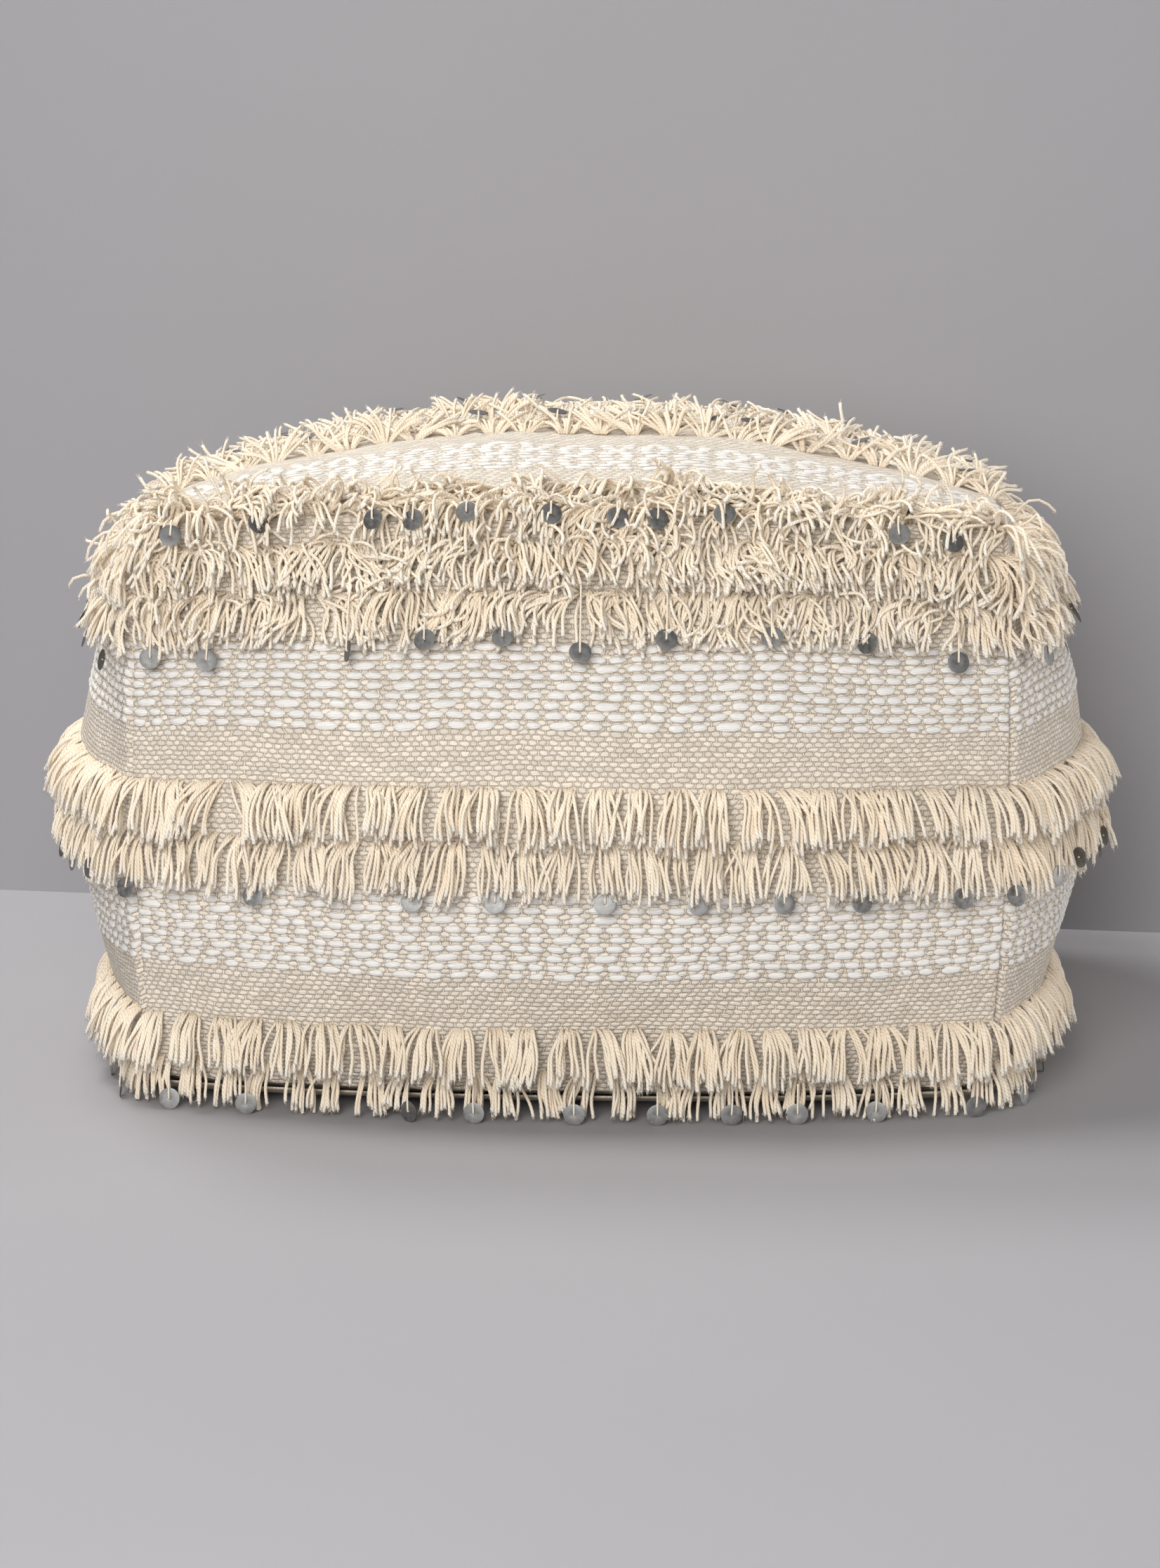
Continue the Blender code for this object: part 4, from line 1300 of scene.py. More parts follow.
def tufted_row(name, node, surface, centres, rng, degrees, style, made):
    """One row of gathered tufts. surface(share across) gives the place, the crosswise, downward
    and outward directions of the row's roots; each tuft's strands leave close together, fan out,
    and are grown from there. made says how finely."""
    fringe = settings("fringe")
    sides = made["sides"]
    tufts = len(centres)
    each = min(style["strands"], made["most"])
    spread = np.linspace(-1, 1, each)[None, :] + rng.normal(0, 0.14, (tufts, each))
    half = settings("body").corner_span / 2
    gather = style.get("gather", 0.0036) * rng.uniform(0.75, 1.3, (tufts, 1))
    at = (centres[:, None] + spread * gather / half).ravel()
    place, across, down, out = surface(np.clip(at, -0.992, 0.992))
    count = len(at)
    lean = np.repeat(rng.normal(0, style.get("lean", 0.16), tufts), each)
    rise = np.repeat(rng.normal(1, style.get("uneven", 0.22), tufts), each)
    fan = spread.ravel() * style["fan"] + lean + rng.normal(0, style.get("stray", 0.08), count)
    lift = style["lift"] * rise * rng.uniform(0.65, 1.25, count)
    fall = style["fall"] * np.ones(count) + rng.normal(0, 0.06, count)
    start = out * lift[:, None] + down * fall[:, None] + across * fan[:, None]
    length = fringe.length * style.get("length", 1.0) * rng.uniform(0.84, 1.07, count)
    length *= np.repeat(rng.normal(1, 0.045, tufts), each)
    droop = style["droop"] * rng.uniform(0.7, 1.3, count)
    curl = style["curl"] * rng.uniform(0.4, 1.8, count)
    clearance = rng.uniform(0.0010, style["stand_off"], count)
    root = place - out * 0.0012 + down * rng.normal(0, 0.0006, count)[:, None]
    apart = style.get("apart", 0.4)
    phase = np.repeat(rng.uniform(0, 2 * math.pi, (tufts, 3)), each, axis=0)
    phase += rng.normal(0, apart, (count, 3))
    speed = np.repeat(rng.uniform(0.35, 0.95, (tufts, 3)), each, axis=0)
    paths = grown(
        root, start, length, clearance, droop, curl, phase, speed, made["steps"]
    )
    along_run = np.linspace(0, 1, paths.shape[1])
    radius = fringe.radius * rng.uniform(0.88, 1.1, count)
    swell = 1 - 0.18 * np.exp(-along_run / 0.08) + 0.10 * np.exp(-(1 - along_run) / 0.07)
    radii = radius[:, None] * swell[None, :]
    steady = across + out * 0.15
    points, walls, caps, wall_uv, cap_uv, tangent = tubes(
        paths, radii, sides, np.broadcast_to(steady[:, None, :], paths.shape)
    )
    own = np.clip(np.repeat(rng.uniform(0.45, 1.0, tufts), each) + rng.normal(0, 0.16, count), 0, 1)
    tones = np.zeros((len(points), 3))
    body_points = count * paths.shape[1] * sides
    tones[:body_points, 0] = np.repeat(own, paths.shape[1] * sides)
    tones[:body_points, 1] = np.tile(np.repeat(along_run, sides), count)
    tones[body_points:, 0] = np.repeat(own, 2)
    tones[body_points:, 1] = np.tile([0.0, 1.0], count)
    spikes, spike_faces = frayed_ends(
        paths[:, -1], tangent[:, -1], fringe.radius, rng, made["spikes"]
    )
    spike_tones = np.tile([1.0, 1.0, 1.0], (len(spikes), 1))
    spike_uv = np.zeros((len(spike_faces), 3, 2))
    item = make_piece(
        name,
        turned(np.concatenate([points, spikes]), degrees),
        [walls, caps, spike_faces + len(points)],
        fringe_yarn(),
        [wall_uv, cap_uv, spike_uv],
        np.concatenate([tones, spike_tones]),
    )
    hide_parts(node)
    return item


def frame_on(point):
    """surface(shares) for a line of roots: the place and its crosswise, downward and outward
    unit vectors, from small steps along point(across, down)."""

    def surface(at):
        step = 1e-3
        place = point(at, 0.0)
        across = point(at + step, 0.0) - point(at - step, 0.0)
        down = point(at, step) - point(at, -step)
        across /= np.linalg.norm(across, axis=-1, keepdims=True)
        down /= np.linalg.norm(down, axis=-1, keepdims=True)
        out = np.cross(across, down)
        out /= np.linalg.norm(out, axis=-1, keepdims=True)
        return place, across, down, -out

    return surface


def side_line(h):
    """Roots along a side at share h; down is towards the base."""
    return frame_on(lambda at, step: cushion_point(at, -1.0, h - step))


def top_line(b, towards):
    """Roots across the top at share b; down is towards the front (-1) or the back (+1)."""
    return frame_on(lambda at, step: cushion_point(at * towards * -1, b + step * towards, 1.0))


# How each row of a side, and of the top, is tied and falls. strands is how many a tuft has, and
# gather is half the width in metres over which they leave the cloth. lift, fall and fan are how
# far they start outwards, downwards and apart. droop and curl bend them at each step, and apart is
# how unlike each other they curl. stand_off is how far from the cloth they hang, in metres. lean,
# uneven and stray are the random part of a tuft's slant, of its lift and of a strand's slant.
# length is a share of the fringe's own.
SIDE_STYLES = {
    ("upper", 1): dict(strands=22, gather=0.0098, lift=0.80, fall=0.30, fan=0.35, droop=0.26,
                       curl=0.29, stand_off=0.014, lean=0.60, uneven=0.50, length=1.12,
                       stray=0.30, apart=0.8),
    ("upper", 2): dict(strands=19, gather=0.0088, lift=0.72, fall=0.40, fan=0.42, droop=0.26,
                       curl=0.25, stand_off=0.010, lean=0.50, uneven=0.45, length=1.10,
                       stray=0.25, apart=0.7),
    ("middle", 1): dict(strands=15, gather=0.0063, lift=0.90, fall=0.10, fan=0.10, droop=0.34,
                        curl=0.11, stand_off=0.012, lean=0.22, uneven=0.34, length=1.03,
                        stray=0.18, apart=0.9),
    ("middle", 2): dict(strands=14, gather=0.0058, lift=0.74, fall=0.22, fan=0.18, droop=0.34,
                        curl=0.12, stand_off=0.008, lean=0.26, uneven=0.38, length=1.0,
                        stray=0.18, apart=0.9),
    ("lower", 1): dict(strands=14, gather=0.0050, lift=0.95, fall=0.08, fan=0.44, droop=0.32,
                       curl=0.10, stand_off=0.010, lean=0.28, uneven=0.35, length=0.97,
                       stray=0.14, apart=0.8),
    ("lower", 2): dict(strands=11, gather=0.0038, lift=0.80, fall=0.40, fan=0.46, droop=0.28,
                       curl=0.10, stand_off=0.006, lean=0.28, uneven=0.34, length=0.74,
                       stray=0.12, apart=0.8),
}
TOP_STYLES = {
    1: dict(strands=22, gather=0.0098, lift=0.55, fall=1.0, fan=0.40, droop=0.28, curl=0.28,
            stand_off=0.015, lean=0.50, uneven=0.50, length=1.15, stray=0.30, apart=0.8),
    2: dict(strands=20, gather=0.0090, lift=0.42, fall=1.0, fan=0.30, droop=0.22, curl=0.16,
            stand_off=0.011, lean=0.34, uneven=0.45, length=1.04, stray=0.15, apart=0.6),
    "back": dict(strands=13, gather=0.0034, lift=0.46, fall=0.85, fan=0.90, droop=0.09,
                 curl=0.08, stand_off=0.006, lean=0.25, uneven=0.30, length=0.84),
}


def tuft_centres(rng, half):
    """Shares of the tufts' middles along a row, a tuft pitch apart with a little jitter."""
    pitch = settings("fringe").tuft_pitch
    count = int(round(2 * half * 0.975 / pitch))
    return np.linspace(-0.965, 0.965, count) + rng.normal(0, 0.0012 / half, count)


class CUSHION_OT_fringe(bpy.types.Operator):
    """Hang every row of yarn fringe on the sides and the top"""

    bl_idname = "cushion.fringe"
    bl_label = "Fringe rows"

    def execute(self, context):
        cloth = settings("cloth")
        shares, run = side_rule()
        for k, (side, degrees) in enumerate(SIDES.items()):
            for start, pair in enumerate(PAIRS):
                for number in (1, 2):
                    rng = np.random.default_rng(100 + 10 * k + 2 * start + number)
                    down = cloth.first_row_down + start * cloth.side_repeat
                    down += (number - 1) * cloth.row_pitch
                    h = float(np.interp(down, run, shares))
                    half = float(corner_half((h + 1) / 2))
                    tufted_row(
                        f"yarn_{side}_{pair}_{number}",
                        f"fringe_{side}_{pair}_{number}",
                        side_line(h),
                        tuft_centres(rng, half),
                        rng,
                        degrees,
                        SIDE_STYLES[pair, number],
                        FINE_STRANDS if side == "front" else PLAIN_STRANDS,
                    )
        shares, run = top_rule()
        for row in range(1, 9):
            rng = np.random.default_rng(200 + row)
            away = cloth.top_first_in + ((row - 1) // 2) * cloth.repeat
            away += ((row - 1) % 2) * cloth.row_pitch
            b = float(np.interp(away, run, shares))
            tufted_row(
                f"yarn_top_{row}",
                f"fringe_top_{row}",
                top_line(b, -1.0 if row <= 2 else 1.0),
                tuft_centres(rng, float(corner_half(1.0))),
                rng,
                0.0,
                TOP_STYLES.get(row, TOP_STYLES["back"]),
                FINE_STRANDS if row <= 4 else PLAIN_STRANDS,
            )
        return {"FINISHED"}


# ------------------------------------------------------------------ sequins
def disc_arrays(centres, across, up):
    """Flat discs with a hole and a slightly dished face: rings at the hole, near the rim and at
    the rim, on both faces, about each centre in the plane of across and up."""
    sequins = settings("sequins")
    radius, hole, thick = sequins.diameter / 2, sequins.hole / 2, sequins.thickness / 2
    sides, bevel, dish = 28, (0.0004, 0.0005), 0.00018
    out = np.cross(across, up)
    angle = np.linspace(0, 2 * math.pi, sides, endpoint=False)
    spoke = (
        np.cos(angle)[None, :, None] * across[:, None, :]
        + np.sin(angle)[None, :, None] * up[:, None, :]
    )
    profile = [
        (hole, thick * 0.7),
        (hole + bevel[0], thick),
        (radius - bevel[1], thick + dish),
        (radius, thick * 0.5 + dish),
        (radius, -thick * 0.5 + dish),
        (radius - bevel[1], -thick + dish),
        (hole + bevel[0], -thick),
        (hole, -thick * 0.7),
    ]
    rings = np.stack(
        [centres[:, None, :] + r * spoke + d * out[:, None, :] for r, d in profile], axis=1
    )
    count, levels = rings.shape[:2]
    index = np.arange(count * levels * sides).reshape(count, levels, sides)
    ahead = np.roll(index, -1, axis=2)
    below, below_ahead = np.roll(index, -1, axis=1), np.roll(ahead, -1, axis=1)
    faces = np.stack([index, ahead, below_ahead, below], axis=-1).reshape(-1, 4)
    return rings.reshape(-1, 3), faces[:, ::-1]


def thread_path(knots, up, out, length, seed):
    """Threads from each knot down over the sequin's face and in through its hole."""
    sequins = settings("sequins")
    rng = np.random.default_rng(seed)
    s = np.linspace(0, 1, 10)
    face = sequins.thickness / 2 + sequins.thread_radius * 1.3
    stand = face * np.clip(s / 0.25, 0, 1)
    wave = rng.uniform(-0.0004, 0.0004, (len(knots), 1)) * np.sin(s * math.pi)[None, :]
    down = s[None, :, None] * (length[:, None, :] - sequins.hole * 0.30)
    path = knots[:, None, :] - up[:, None, :] * down
    path = path + out[:, None, :] * stand[None, :, None]
    side = np.cross(out, up)
    path = path + side[:, None, :] * wave[:, :, None]
    inward = knots - up * (length - sequins.hole * 0.2) - out * (sequins.thickness + 0.0002)
    return np.concatenate([path, inward[:, None, :]], axis=1), side


def hang_sequins(name, knots, across, up, length, metal, seed, body="cushion", nodes=()):
    """Discs and their threads as two pieces, from the knots, the discs' crosswise directions and
    the threads' upward directions."""
    sequins = settings("sequins")
    out = np.cross(across, up)
    centres = knots - up * length
    points, faces = disc_arrays(centres, across, up)
    disc = make_piece(name, points, [faces], metal, body=body, sharp=40)
    if nodes:
        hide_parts(*nodes)
    path, side = thread_path(knots, up, out, length, seed)
    radii = np.full(path.shape[:2], sequins.thread_radius)
    radii[:, 0] *= 1.5
    points, walls, caps, wall_uv, cap_uv, _ = tubes(
        path, radii, 6, np.broadcast_to(side[:, None, :], path.shape)
    )
    tones = np.tile([0.95, 0.6, 0.0], (len(points), 1))
    thread = make_piece(
        name + "_thread", points, [walls, caps], fringe_yarn(), [wall_uv, cap_uv], tones, body
    )
    return disc


def loose_sequins(name, surface, shares, stand_off, seed, degrees, metal, tilt, lengths):
    """Sequins that hang from a row's roots over its fringe, each turned a little its own way."""
    rng = np.random.default_rng(seed)
    sequins = settings("sequins")
    place, across, down, out = surface(np.asarray(shares))
    count = len(place)
    heading = down + out * rng.uniform(0.30, 0.55, count)[:, None]
    heading -= UP * 0.4
    knots = place + out * stand_off
    length = rng.uniform(*lengths, count)
    path = grown(
        knots,
        heading,
        length,
        np.full(count, stand_off + 0.002),
        np.full(count, 0.30),
        np.full(count, 0.01),
        rng.uniform(0, 2 * math.pi, (count, 3)),
        0.5,
        6,
        sequins.diameter / 2,
    )
    up = knots - path[:, -1]
    length = np.linalg.norm(up, axis=-1, keepdims=True)
    up /= length
    yaw = rng.normal(0, tilt, count)[:, None]
    side = across * np.cos(yaw) + out * np.sin(yaw)
    side -= (side * up).sum(-1, keepdims=True) * up
    side /= np.linalg.norm(side, axis=-1, keepdims=True)
    return hang_sequins(
        name,
        turned(knots, degrees),
        turned(side, degrees),
        turned(up, degrees),
        length,
        metal,
        seed,
    )


class CUSHION_OT_sequins(bpy.types.Operator):
    """Hang the sequins on their threads"""

    bl_idname = "cushion.sequins"
    bl_label = "Sequins"

    def execute(self, context):
        sequins = settings("sequins")
        cloth = settings("cloth")
        pale = sequin_metal("sequin metal", 0.64)
        # A darker copy of the same metal, with the same roughness, for the upper rows, the front
        # edge and the top.
        dark = sequin_metal("sequin metal darker", 0.42)
        joints = {joint["name"]: joint for joint in frame["joints"]}
        names = sorted(n for n in frame["nodes"] if n.startswith("sequin_"))
        for k, node in enumerate(names):
            joint = joints[f"{node}_swing"]
            knot = np.array(joint["pos_m"], float)
            row = -np.array(joint["axis"], float)
            mesh = frame["nodes"][node].data
            points = np.empty(len(mesh.vertices) * 3)
            mesh.vertices.foreach_get("co", points)
            points = points.reshape(-1, 3)
            away = np.linalg.norm(points - knot, axis=1)
            lowest = points[away > away.max() - 1e-4].mean(axis=0)
            up = (knot - lowest) / np.linalg.norm(knot - lowest)
            row -= up * (row @ up)
            row /= np.linalg.norm(row)
            hang_sequins(
                f"disc_{k + 1:02d}",
                knot[None],
                row[None],
                up[None],
                np.full((1, 1), sequins.thread_length),
                pale,
                300 + k,
                node,
                (node,),
            )
        shares, run = side_rule()

        def at(down):
            return side_line(float(np.interp(down, run, shares)))

        second = cloth.first_row_down + cloth.row_pitch
        rng = np.random.default_rng(77)
        for k, (side, degrees) in enumerate(SIDES.items()):
            spots = {
                "upper": (-0.93, -0.80, -0.48, -0.31, -0.14, 0.03, 0.22, 0.45, 0.66, 0.86),
                "lower": (-0.92, -0.74, -0.36, -0.21, 0.02, 0.21, 0.38, 0.53, 0.71, 0.94),
            }
            if side != "front":
                spots = {
                    pair: np.sort(np.linspace(-0.92, 0.92, 11) + rng.normal(0, 0.03, 11))
                    for pair in PAIRS
                }
            for pair, where in spots.items():
                start = PAIRS.index(pair) * cloth.side_repeat
                loose_sequins(
                    f"sequins_{side}_{pair}",
                    at(second + start),
                    where,
                    0.010 if pair != "lower" else 0.011,
                    400 + 10 * k + len(pair),
                    degrees,
                    dark if pair == "upper" else pale,
                    0.25 if pair == "lower" else 0.4,
                    (0.030, 0.042) if pair == "upper" else (0.024, 0.033),
                )
        loose_sequins(
            "sequins_front_edge",
            at(0.001),
            (-0.90, -0.70, -0.44, -0.35, -0.23, -0.04, 0.11, 0.20, 0.35, 0.74, 0.86),
            0.017,
            450,
            0.0,
            dark,
            0.3,
            (0.006, 0.012),
        )
        shares, run = top_rule()
        for pair in (1, 2, 3):
            away = cloth.top_first_in + pair * cloth.repeat
            b = float(np.interp(away, run, shares))
            loose_sequins(
                f"sequins_top_{pair}",
                top_line(b, 1.0),
                np.sort(np.linspace(-0.9, 0.9, 10) + rng.normal(0, 0.04, 10)),
                0.007,
                460 + pair,
                0.0,
                dark,
                0.3,
                (0.020, 0.028),
            )
        return {"FINISHED"}


# ------------------------------------------------------------------ underside
def canvas_half(name, node, towards):
    """Half of the base: a sheet over shares from its seam to the zip, whose edge turns up."""
    under = settings("underside")
    rng = np.random.default_rng(31 + int(towards))
    half = float(corner_half(0.0))
    a = np.linspace(-1, 1, 130)
    edge = under.half_gap / half
    hem = [0.0012, 0.0030, 0.0046]
    flat_rows = 64
    b = np.concatenate([np.linspace(-1, -edge, flat_rows), np.full(len(hem), -edge)])
    lift = np.concatenate([np.zeros(flat_rows), hem])
    bb, aa = np.meshgrid(b, a, indexing="ij")
    points = cushion_point(aa, bb, -1.0)
    flat_place = points[..., :2].copy()
    inner = (1 - np.abs(aa) ** 8) * (1 - np.abs(bb) ** 8)
    ripple = 0.0008 * (1 + smooth_noise(rng, flat_place, 0.06, 2)) * inner
    tuck = np.minimum(1.0, (1 - np.abs(aa)) / 0.02)
    points[..., 2] += 0.0002 + ripple + lift[:, None] * tuck
    points[..., 1] = np.where(lift[:, None] > 0, -under.half_gap, points[..., 1])
    if towards > 0:
        points = turned(points, 180.0)
    uv = flat_place.reshape(-1, 2)
    faces = grid_faces(len(b), len(a))
    item = make_piece(name, points, [faces], base_canvas(), [uv[faces]], sharp=60)
    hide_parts(node)
    thick = item.modifiers.new("canvas thickness", "SOLIDIFY")
    thick.thickness = 0.0009
    thick.offset = -1.0
    return item


# A stitch's pitch, half its length, how far its middle stands out and its yarn's radius, and how
# far a line of stitches keeps from the folded hem and from its ends.
STITCH_PITCH, STITCH_HALF, STITCH_RISE, STITCH_RADIUS = 0.0032, 0.0012, 0.0004, 0.00022
STITCHES_FROM_HEM, STITCHES_FROM_END = 0.006, 0.004


def stitch_line(name, start, end, out, look):
    """A line of stitches: short dashes along a straight run, each arched as 1 - t squared."""
    length = float(np.linalg.norm(end - start))
    count = int(length / STITCH_PITCH)
    s = (np.arange(count) + 0.5) / count
    heading = (end - start) / length
    t = np.linspace(-1, 1, 5)
    middle = start + s[:, None] * (end - start)
    paths = middle[:, None, :] + t[None, :, None] * heading * STITCH_HALF
    paths = paths + (STITCH_RISE * (1 - t**2))[None, :, None] * out
    side = np.cross(heading, out)
    points, walls, caps, wall_uv, cap_uv, _ = tubes(
        paths,
        np.full(paths.shape[:2], STITCH_RADIUS),
        4,
        np.broadcast_to(side, paths.shape),
    )
    tones = np.tile([0.8, 0.5, 0.0], (len(points), 1))
    item = make_piece(name, points, [walls, caps], look, [wall_uv, cap_uv], tones)
    return item


class CUSHION_OT_base(bpy.types.Operator):
    """Sew the canvas base in two halves, each with its hem turned up beside the zip"""

    bl_idname = "cushion.base"
    bl_label = "Canvas base"

    def execute(self, context):
        canvas_half("canvas_front", "base_panel_front", -1)
        canvas_half("canvas_rear", "base_panel_rear", 1)
        return {"FINISHED"}


# Half the gap between the two tapes, half a tape's thickness, and the length of the coils.
TAPE_EDGE, TAPE_HALF, COIL_LENGTH = 0.0003, 0.0004, 0.398


def zip_tape(name, node, towards, look):
    """One tape over its own length and width: a grid above and one below, each with three slight
    ribs along it, and a wall round their edge."""
    low, high = (np.array(c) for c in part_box(node))
    far = low[1] if towards < 0 else high[1]
    edge = TAPE_EDGE * towards
    width = abs(far) - abs(edge)
    x = np.linspace(low[0], high[0], 240)
    y = np.linspace(edge, far, 22)
    yy, xx = np.meshgrid(y, x, indexing="ij")
    share = (np.abs(yy) - abs(edge)) / width
    middle = (low[2] + high[2]) / 2
    rib = 0.0001 * np.cos(share * 2 * math.pi * 3)
    top = np.stack([xx, yy, middle + TAPE_HALF + rib], axis=-1)
    bottom = np.stack([xx, yy, middle - TAPE_HALF + rib], axis=-1)
    shift = xx.size
    shape = grid_faces(len(y), len(x))
    rim = np.concatenate(
        [
            np.arange(len(x)),
            len(x) * (np.arange(1, len(y)) + 1) - 1,
            len(x) * len(y) - 2 - np.arange(len(x) - 1),
            len(x) * (len(y) - 2 - np.arange(len(y) - 2)),
        ]
    )
    after = np.roll(rim, -1)
    wall = np.stack([rim, after, after + shift, rim + shift], axis=-1)
    if towards < 0:
        faces = [shape, shape[:, ::-1] + shift, wall]
    else:
        faces = [shape[:, ::-1], shape + shift, wall[:, ::-1]]
    points = np.concatenate([top.reshape(-1, 3), bottom.reshape(-1, 3)])
    uv = points[:, :2]
    item = make_piece(name, points, faces, look, [uv[f] for f in faces], sharp=50)
    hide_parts(node)


def zip_coil(name, node, towards, look):
    """A coil along the inner edge of its tape: a flattened helix, half a turn out of step with the
    other coil's."""
    low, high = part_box(node)
    middle = (low[2] + high[2]) / 2
    pitch = settings("underside").coil_pitch
    turns = int(COIL_LENGTH / pitch)
    s = np.linspace(0, 1, turns * 8 + 1)
    angle = s * turns * 2 * math.pi
    path = np.stack(
        [
            -COIL_LENGTH / 2 + COIL_LENGTH * s + (0 if towards < 0 else pitch / 2),
            towards * (0.0010 + 0.0011 * (1 + np.cos(angle)) / 2 * 1.4),
            middle + 0.00095 * np.sin(angle) - 0.0002,
        ],
        axis=-1,
    )[None]
    lengthwise = np.zeros(path.shape)
    lengthwise[..., 0] = 1.0
    points, walls, caps, *_ = tubes(path, np.full(path.shape[:2], 0.00033), 5, lengthwise)
    item = make_piece(name, points, [walls, caps], look)


class CUSHION_OT_zip(bpy.types.Operator):
    """Weave the zip tapes with their coil, and finish the slider, pull and stops"""

    bl_idname = "cushion.zip"
    bl_label = "Zip"

    def execute(self, context):
        tape, coil, metal = zip_tape_cloth(), zip_coil_plastic(), zip_metal()
        for part, towards in (("front", -1), ("rear", 1)):
            node = f"zip_tape_{part}"
            zip_tape(f"tape_{part}", node, towards, tape)
            zip_coil(f"coil_{part}", node, towards, coil)
            low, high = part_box(node)
            y = towards * (settings("underside").half_gap + STITCHES_FROM_HEM)
            stitch_line(
                f"stitches_{part}",
                np.array([low[0] + STITCHES_FROM_END, y, 0.0006]),
                np.array([high[0] - STITCHES_FROM_END, y, 0.0006]),
                -UP,
                fringe_yarn(),
            )
        for node in ("zip_slider", "zip_pull", "zip_stop_closed", "zip_stop_open"):
            item = frame["nodes"][node]
            item.data.materials.clear()
            item.data.materials.append(metal)
        return {"FINISHED"}


# ------------------------------------------------------------------ pad inside
def closed_body(inset, base_inset, across, upward):
    """The whole closed form of the cushion moved in by inset: six grids of shares, whose edges
    are merged."""
    line = np.linspace(-1, 1, across)
    rise = np.linspace(-1, 1, upward)
    grids, faces, first = [], [], 0

    def add(a, b, h, flip):
        nonlocal first
        grid = np.stack(np.broadcast_arrays(a, b, h), axis=-1)
        shape = grid_faces(grid.shape[0], grid.shape[1], first)
        faces.append(shape[:, ::-1] if flip else shape)
        grids.append(grid.reshape(-1, 3))
        first += grid[..., 0].size

    s, t = np.meshgrid(line, line)
    add(s, t, np.ones_like(s), True)
    add(s, t, -np.ones_like(s), False)
    s, t = np.meshgrid(line, rise)
    add(s, -np.ones_like(s), t, True)
    add(s, np.ones_like(s), t, False)
    add(np.ones_like(s), s, t, True)
    add(-np.ones_like(s), s, t, False)
    shares = np.concatenate(grids)
    keys, index = np.unique(np.round(shares, 6), axis=0, return_inverse=True)
    faces = index.reshape(-1)[np.concatenate(faces)]
    a, b, h = keys[:, 0], keys[:, 1], keys[:, 2]
    points = cushion_point(a, b, h, -inset)
    under = np.clip(1 - (h + 1) * 30, 0, 1) * (np.maximum(np.abs(a), np.abs(b)) < 0.99)
    points[:, 2] += under * (base_inset - inset)
    over_zip = np.clip(1 - np.abs(points[:, 1]) / 0.045, 0, 1) * under
    points[:, 2] += over_zip * 0.0105
    return points, faces


class CUSHION_OT_pad(bpy.types.Operator):
    """Fill the inner bag with stuffing"""

    bl_idname = "cushion.pad"
    bl_label = "Inner pad"

    def execute(self, context):
        rng = np.random.default_rng(5)
        bag, fibre = (0.0052, 0.0030, 76, 48), (0.0085, 0.0065, 56, 36)
        middle = closed_body(*bag)[0].mean(axis=0)
        for name, look, slot, nodes, form, lumps in (
            (
                "stuffed_pad",
                lining_cotton,
                "lining",
                ("inner_bag_top", "inner_bag_base"),
                bag,
                (0.0006, 0.05),
            ),
            (
                "stuffing",
                stuffing_fibre,
                "filling",
                ("filling",),
                fibre,
                (0.0012, 0.06),
            ),
        ):
            points, faces = closed_body(*form)
            height, wave = lumps
            heading = points - middle
            heading /= np.linalg.norm(heading, axis=1, keepdims=True)
            ripple = height * (smooth_noise(rng, points, wave, 3) - 1)
            item = make_piece(name, points + heading * ripple[:, None], [faces], look())
            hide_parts(*nodes)
        return {"FINISHED"}


# ------------------------------------------------------------------ stage
def plain_ground(name, corners, colour):
    """One flat face of the stage, in a matt colour that varies by a fiftieth."""
    made, tree, shader = plain_material(name, colour, 0.85)
    place = object_place(tree)
    soft = grainy(tree, place, 3.0, 3.0, 0.5)
    mixed = blended(
        tree, eased(tree, soft, 0.3, 0.7), tuple(c * 0.98 for c in colour), tuple(colour)
    )
    tree.links.new(mixed, shader.inputs["Base Color"])
    item = make_piece(name, np.array(corners, float), [np.array([[0, 1, 2, 3]])], made, body=None)
    return item


def clear_from_behind(item):
    """Let the wall be seen from its front only, and let a light behind it shine past."""
    tree = item.data.materials[0].node_tree
    behind = tree.nodes.new("ShaderNodeNewGeometry").outputs["Backfacing"]
    shader = next(n for n in tree.nodes if n.type == "BSDF_PRINCIPLED")
    tree.links.new(reckon(tree, "SUBTRACT", 1.0, behind), shader.inputs["Alpha"])
    item.visible_shadow = False


def soft_light(name, place, target, size, power, colour):
    """A round soft light at a place, turned to its target."""
    lamp = bpy.data.lights.new(name, "AREA")
    lamp.shape = "DISK"
    lamp.size = size
    lamp.energy = power
    lamp.color = colour
    item = bpy.data.objects.new(name, lamp)
    item.visible_camera = False
    bpy.context.scene.collection.objects.link(item)
    aim = np.array(target, float) - np.array(place, float)
    aim /= np.linalg.norm(aim)
    item.location = place
    item.rotation_euler = (
        math.acos(-aim[2]),
        0.0,
        math.atan2(aim[1], aim[0]) - math.pi / 2,
    )
    return item


def camera_turn(pitch, yaw, roll):
    """Euler angles of a camera that looks along +Y, turned about its own line of sight by roll,
    down by pitch and then about Z by yaw, all in degrees."""
    turn = (
        Matrix.Rotation(math.radians(yaw), 3, "Z")
        @ Matrix.Rotation(math.radians(90 - pitch), 3, "X")
        @ Matrix.Rotation(math.radians(roll), 3, "Z")
    )
    return turn.to_euler("XYZ")


def set_camera(place, turn, lens_mm):
    """The camera, whose lens is for a sensor 36 mm high."""
    lens = bpy.data.cameras.new("camera")
    lens.sensor_fit = "VERTICAL"
    lens.sensor_height = 36.0
    lens.lens = lens_mm
    lens.clip_end = 50.0
    camera = bpy.data.objects.new("camera", lens)
    bpy.context.scene.collection.objects.link(camera)
    camera.location = place
    camera.rotation_mode = "XYZ"
    camera.rotation_euler = turn
    bpy.context.scene.camera = camera


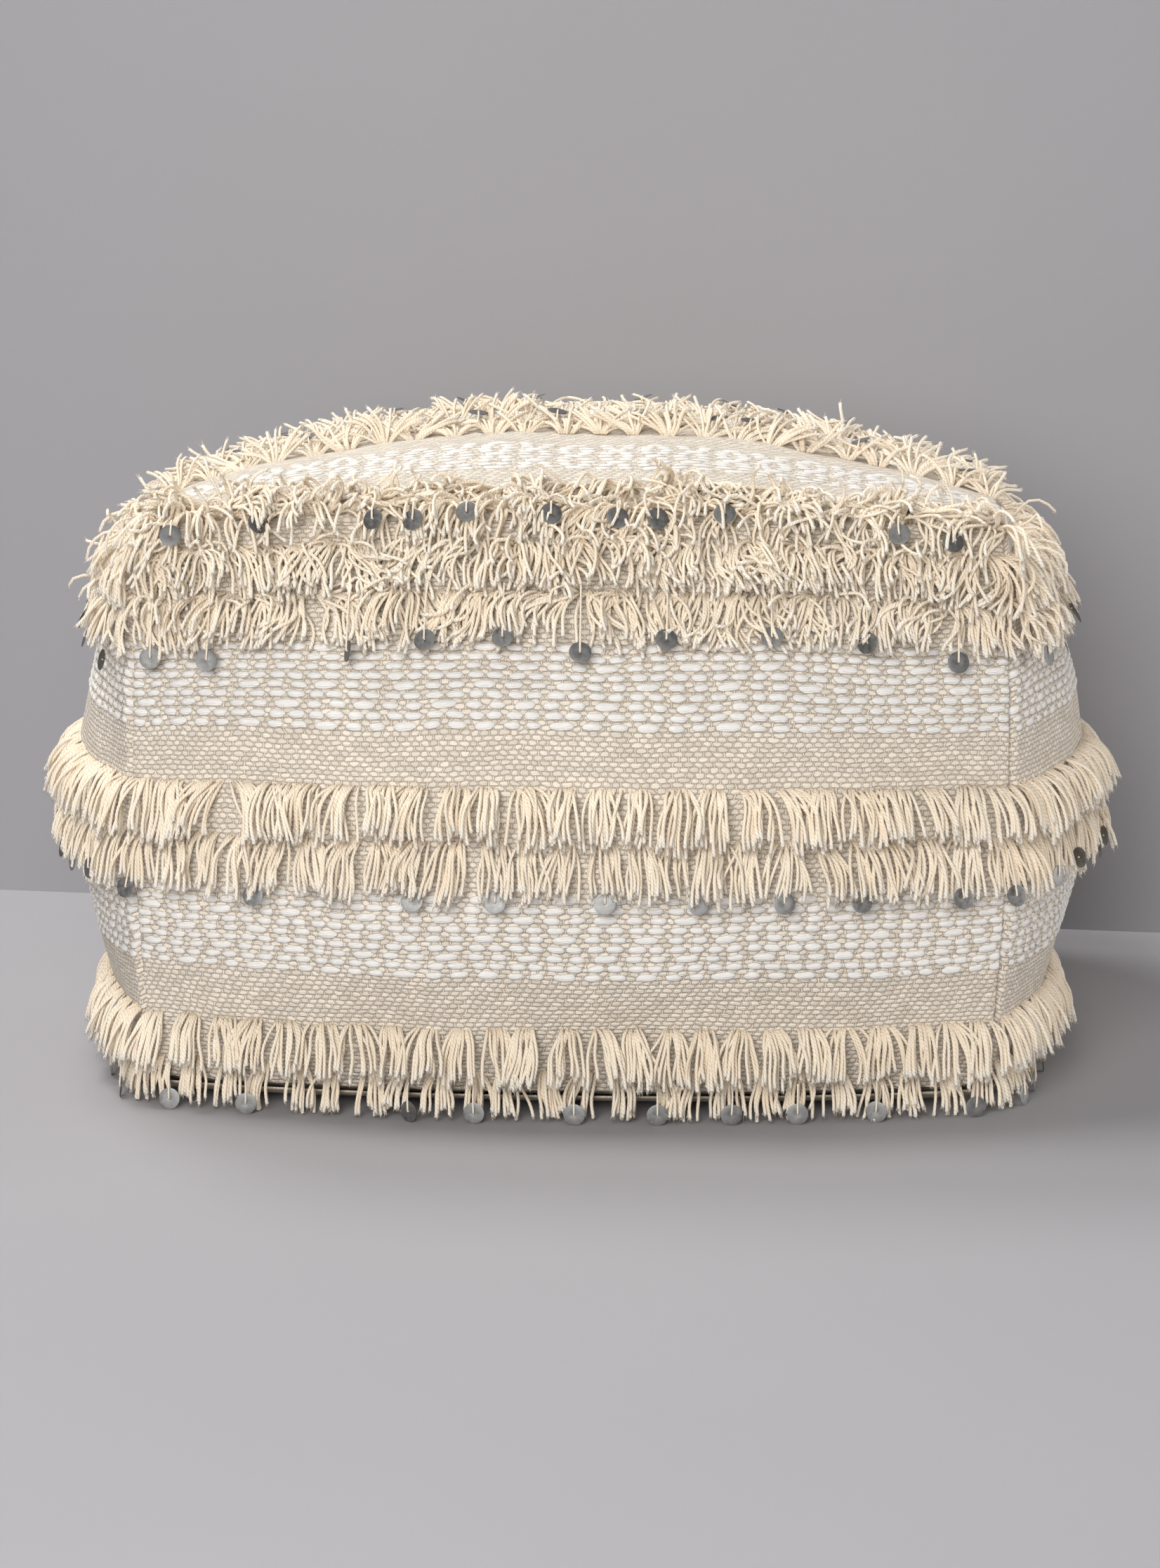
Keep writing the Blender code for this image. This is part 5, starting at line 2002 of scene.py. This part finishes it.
def set_sky(strength, backdrop):
    """Even white light from all round, seen by the camera itself as a grey backdrop."""
    world = bpy.context.scene.world or bpy.data.worlds.new("World")
    bpy.context.scene.world = world
    world.use_nodes = True
    sky = world.node_tree.nodes["Background"]
    sky.inputs["Color"].default_value = (1.0, 1.0, 1.0, 1.0)
    seen = world.node_tree.nodes.new("ShaderNodeLightPath").outputs["Is Camera Ray"]
    seen_strength = eased(world.node_tree, seen, 0.0, 1.0, strength, backdrop)
    world.node_tree.links.new(seen_strength, sky.inputs["Strength"])


# The floor runs this far each way. The wall runs this far to each side and this high, stands this
# far behind the middle of the cushion and slants forwards by this much for every metre rightwards.
FLOOR_REACH = 4.5
WALL_REACH, WALL_HEIGHT, WALL_AT, WALL_SLANT = 2.6, 2.6, 0.367, 0.114 / 0.79


class CUSHION_OT_stage(bpy.types.Operator):
    """Lay the floor, stand the wall, and set the lights and the camera"""

    bl_idname = "cushion.stage"
    bl_label = "Stage"

    def execute(self, context):
        stage = settings("stage")
        far, wide = FLOOR_REACH, WALL_REACH
        plain_ground(
            "floor",
            [(-far, -far, 0), (far, -far, 0), (far, far, 0), (-far, far, 0)],
            stage.floor_colour,
        )
        left, right = WALL_AT + WALL_SLANT * wide, WALL_AT - WALL_SLANT * wide
        wall = plain_ground(
            "wall",
            [
                (-wide, left, 0),
                (wide, right, 0),
                (wide, right, WALL_HEIGHT),
                (-wide, left, WALL_HEIGHT),
            ],
            stage.wall_colour,
        )
        clear_from_behind(wall)
        middle = (0, 0, 0.2)
        warm, side_warm, neutral = (1.0, 0.985, 0.96), (1.0, 0.98, 0.96), (1.0, 0.99, 0.975)
        soft_light("key", (-1.1, -0.15, 2.7), middle, 1.1, stage.key_power, warm)
        soft_light("fill", (-0.4, -3.0, 1.05), middle, 1.6, stage.fill_power, neutral)
        soft_light("side", (2.2, 0.0, 0.42), middle, 0.8, stage.side_power, side_warm)
        soft_light("back", (-1.0, 1.0, 2.5), middle, 0.9, stage.back_power, warm)
        set_sky(stage.sky, 0.40)
        set_camera((0.0773, -2.3057, 0.501), camera_turn(8.59, 1.984, 0.23), 83.14)
        bpy.context.scene.view_settings.view_transform = "Standard"
        return {"FINISHED"}


# ------------------------------------------------------------------ panel and registration
OPERATORS = (
    CUSHION_OT_pad,
    CUSHION_OT_cover,
    CUSHION_OT_base,
    CUSHION_OT_zip,
    CUSHION_OT_fringe,
    CUSHION_OT_sequins,
    CUSHION_OT_stage,
)
SETTINGS = {
    "body": CushionBodySettings,
    "cloth": ClothSettings,
    "fringe": FringeSettings,
    "sequins": SequinSettings,
    "underside": UndersideSettings,
    "stage": StageSettings,
}


class VIEW3D_PT_cushion(bpy.types.Panel):
    """Sizes, colours and steps of the floor cushion"""

    bl_idname = "VIEW3D_PT_cushion"
    bl_label = "Floor Cushion"
    bl_space_type = "VIEW_3D"
    bl_region_type = "UI"
    bl_category = "Cushion"

    def draw(self, context):
        for name, group in SETTINGS.items():
            box = self.layout.box()
            box.label(text=name.capitalize())
            for prop in group.__annotations__:
                box.prop(settings(name), prop)
        for operator in OPERATORS:
            self.layout.operator(operator.bl_idname)


def register():
    for group in SETTINGS.values():
        bpy.utils.register_class(group)
    for operator in OPERATORS:
        bpy.utils.register_class(operator)
    bpy.utils.register_class(VIEW3D_PT_cushion)
    for name, group in SETTINGS.items():
        setattr(bpy.types.Scene, "cushion_" + name, bpy.props.PointerProperty(type=group))


def unregister():
    for name in SETTINGS:
        delattr(bpy.types.Scene, "cushion_" + name)
    bpy.utils.unregister_class(VIEW3D_PT_cushion)
    for operator in reversed(OPERATORS):
        bpy.utils.unregister_class(operator)
    for group in reversed(SETTINGS.values()):
        bpy.utils.unregister_class(group)


def main():
    register()
    bpy.ops.cushion.pad()
    bpy.ops.cushion.cover()
    bpy.ops.cushion.base()
    bpy.ops.cushion.zip()
    bpy.ops.cushion.fringe()
    bpy.ops.cushion.sequins()
    bpy.ops.cushion.stage()
    bpy.context.view_layer.update()


if __name__ == "__main__":
    main()
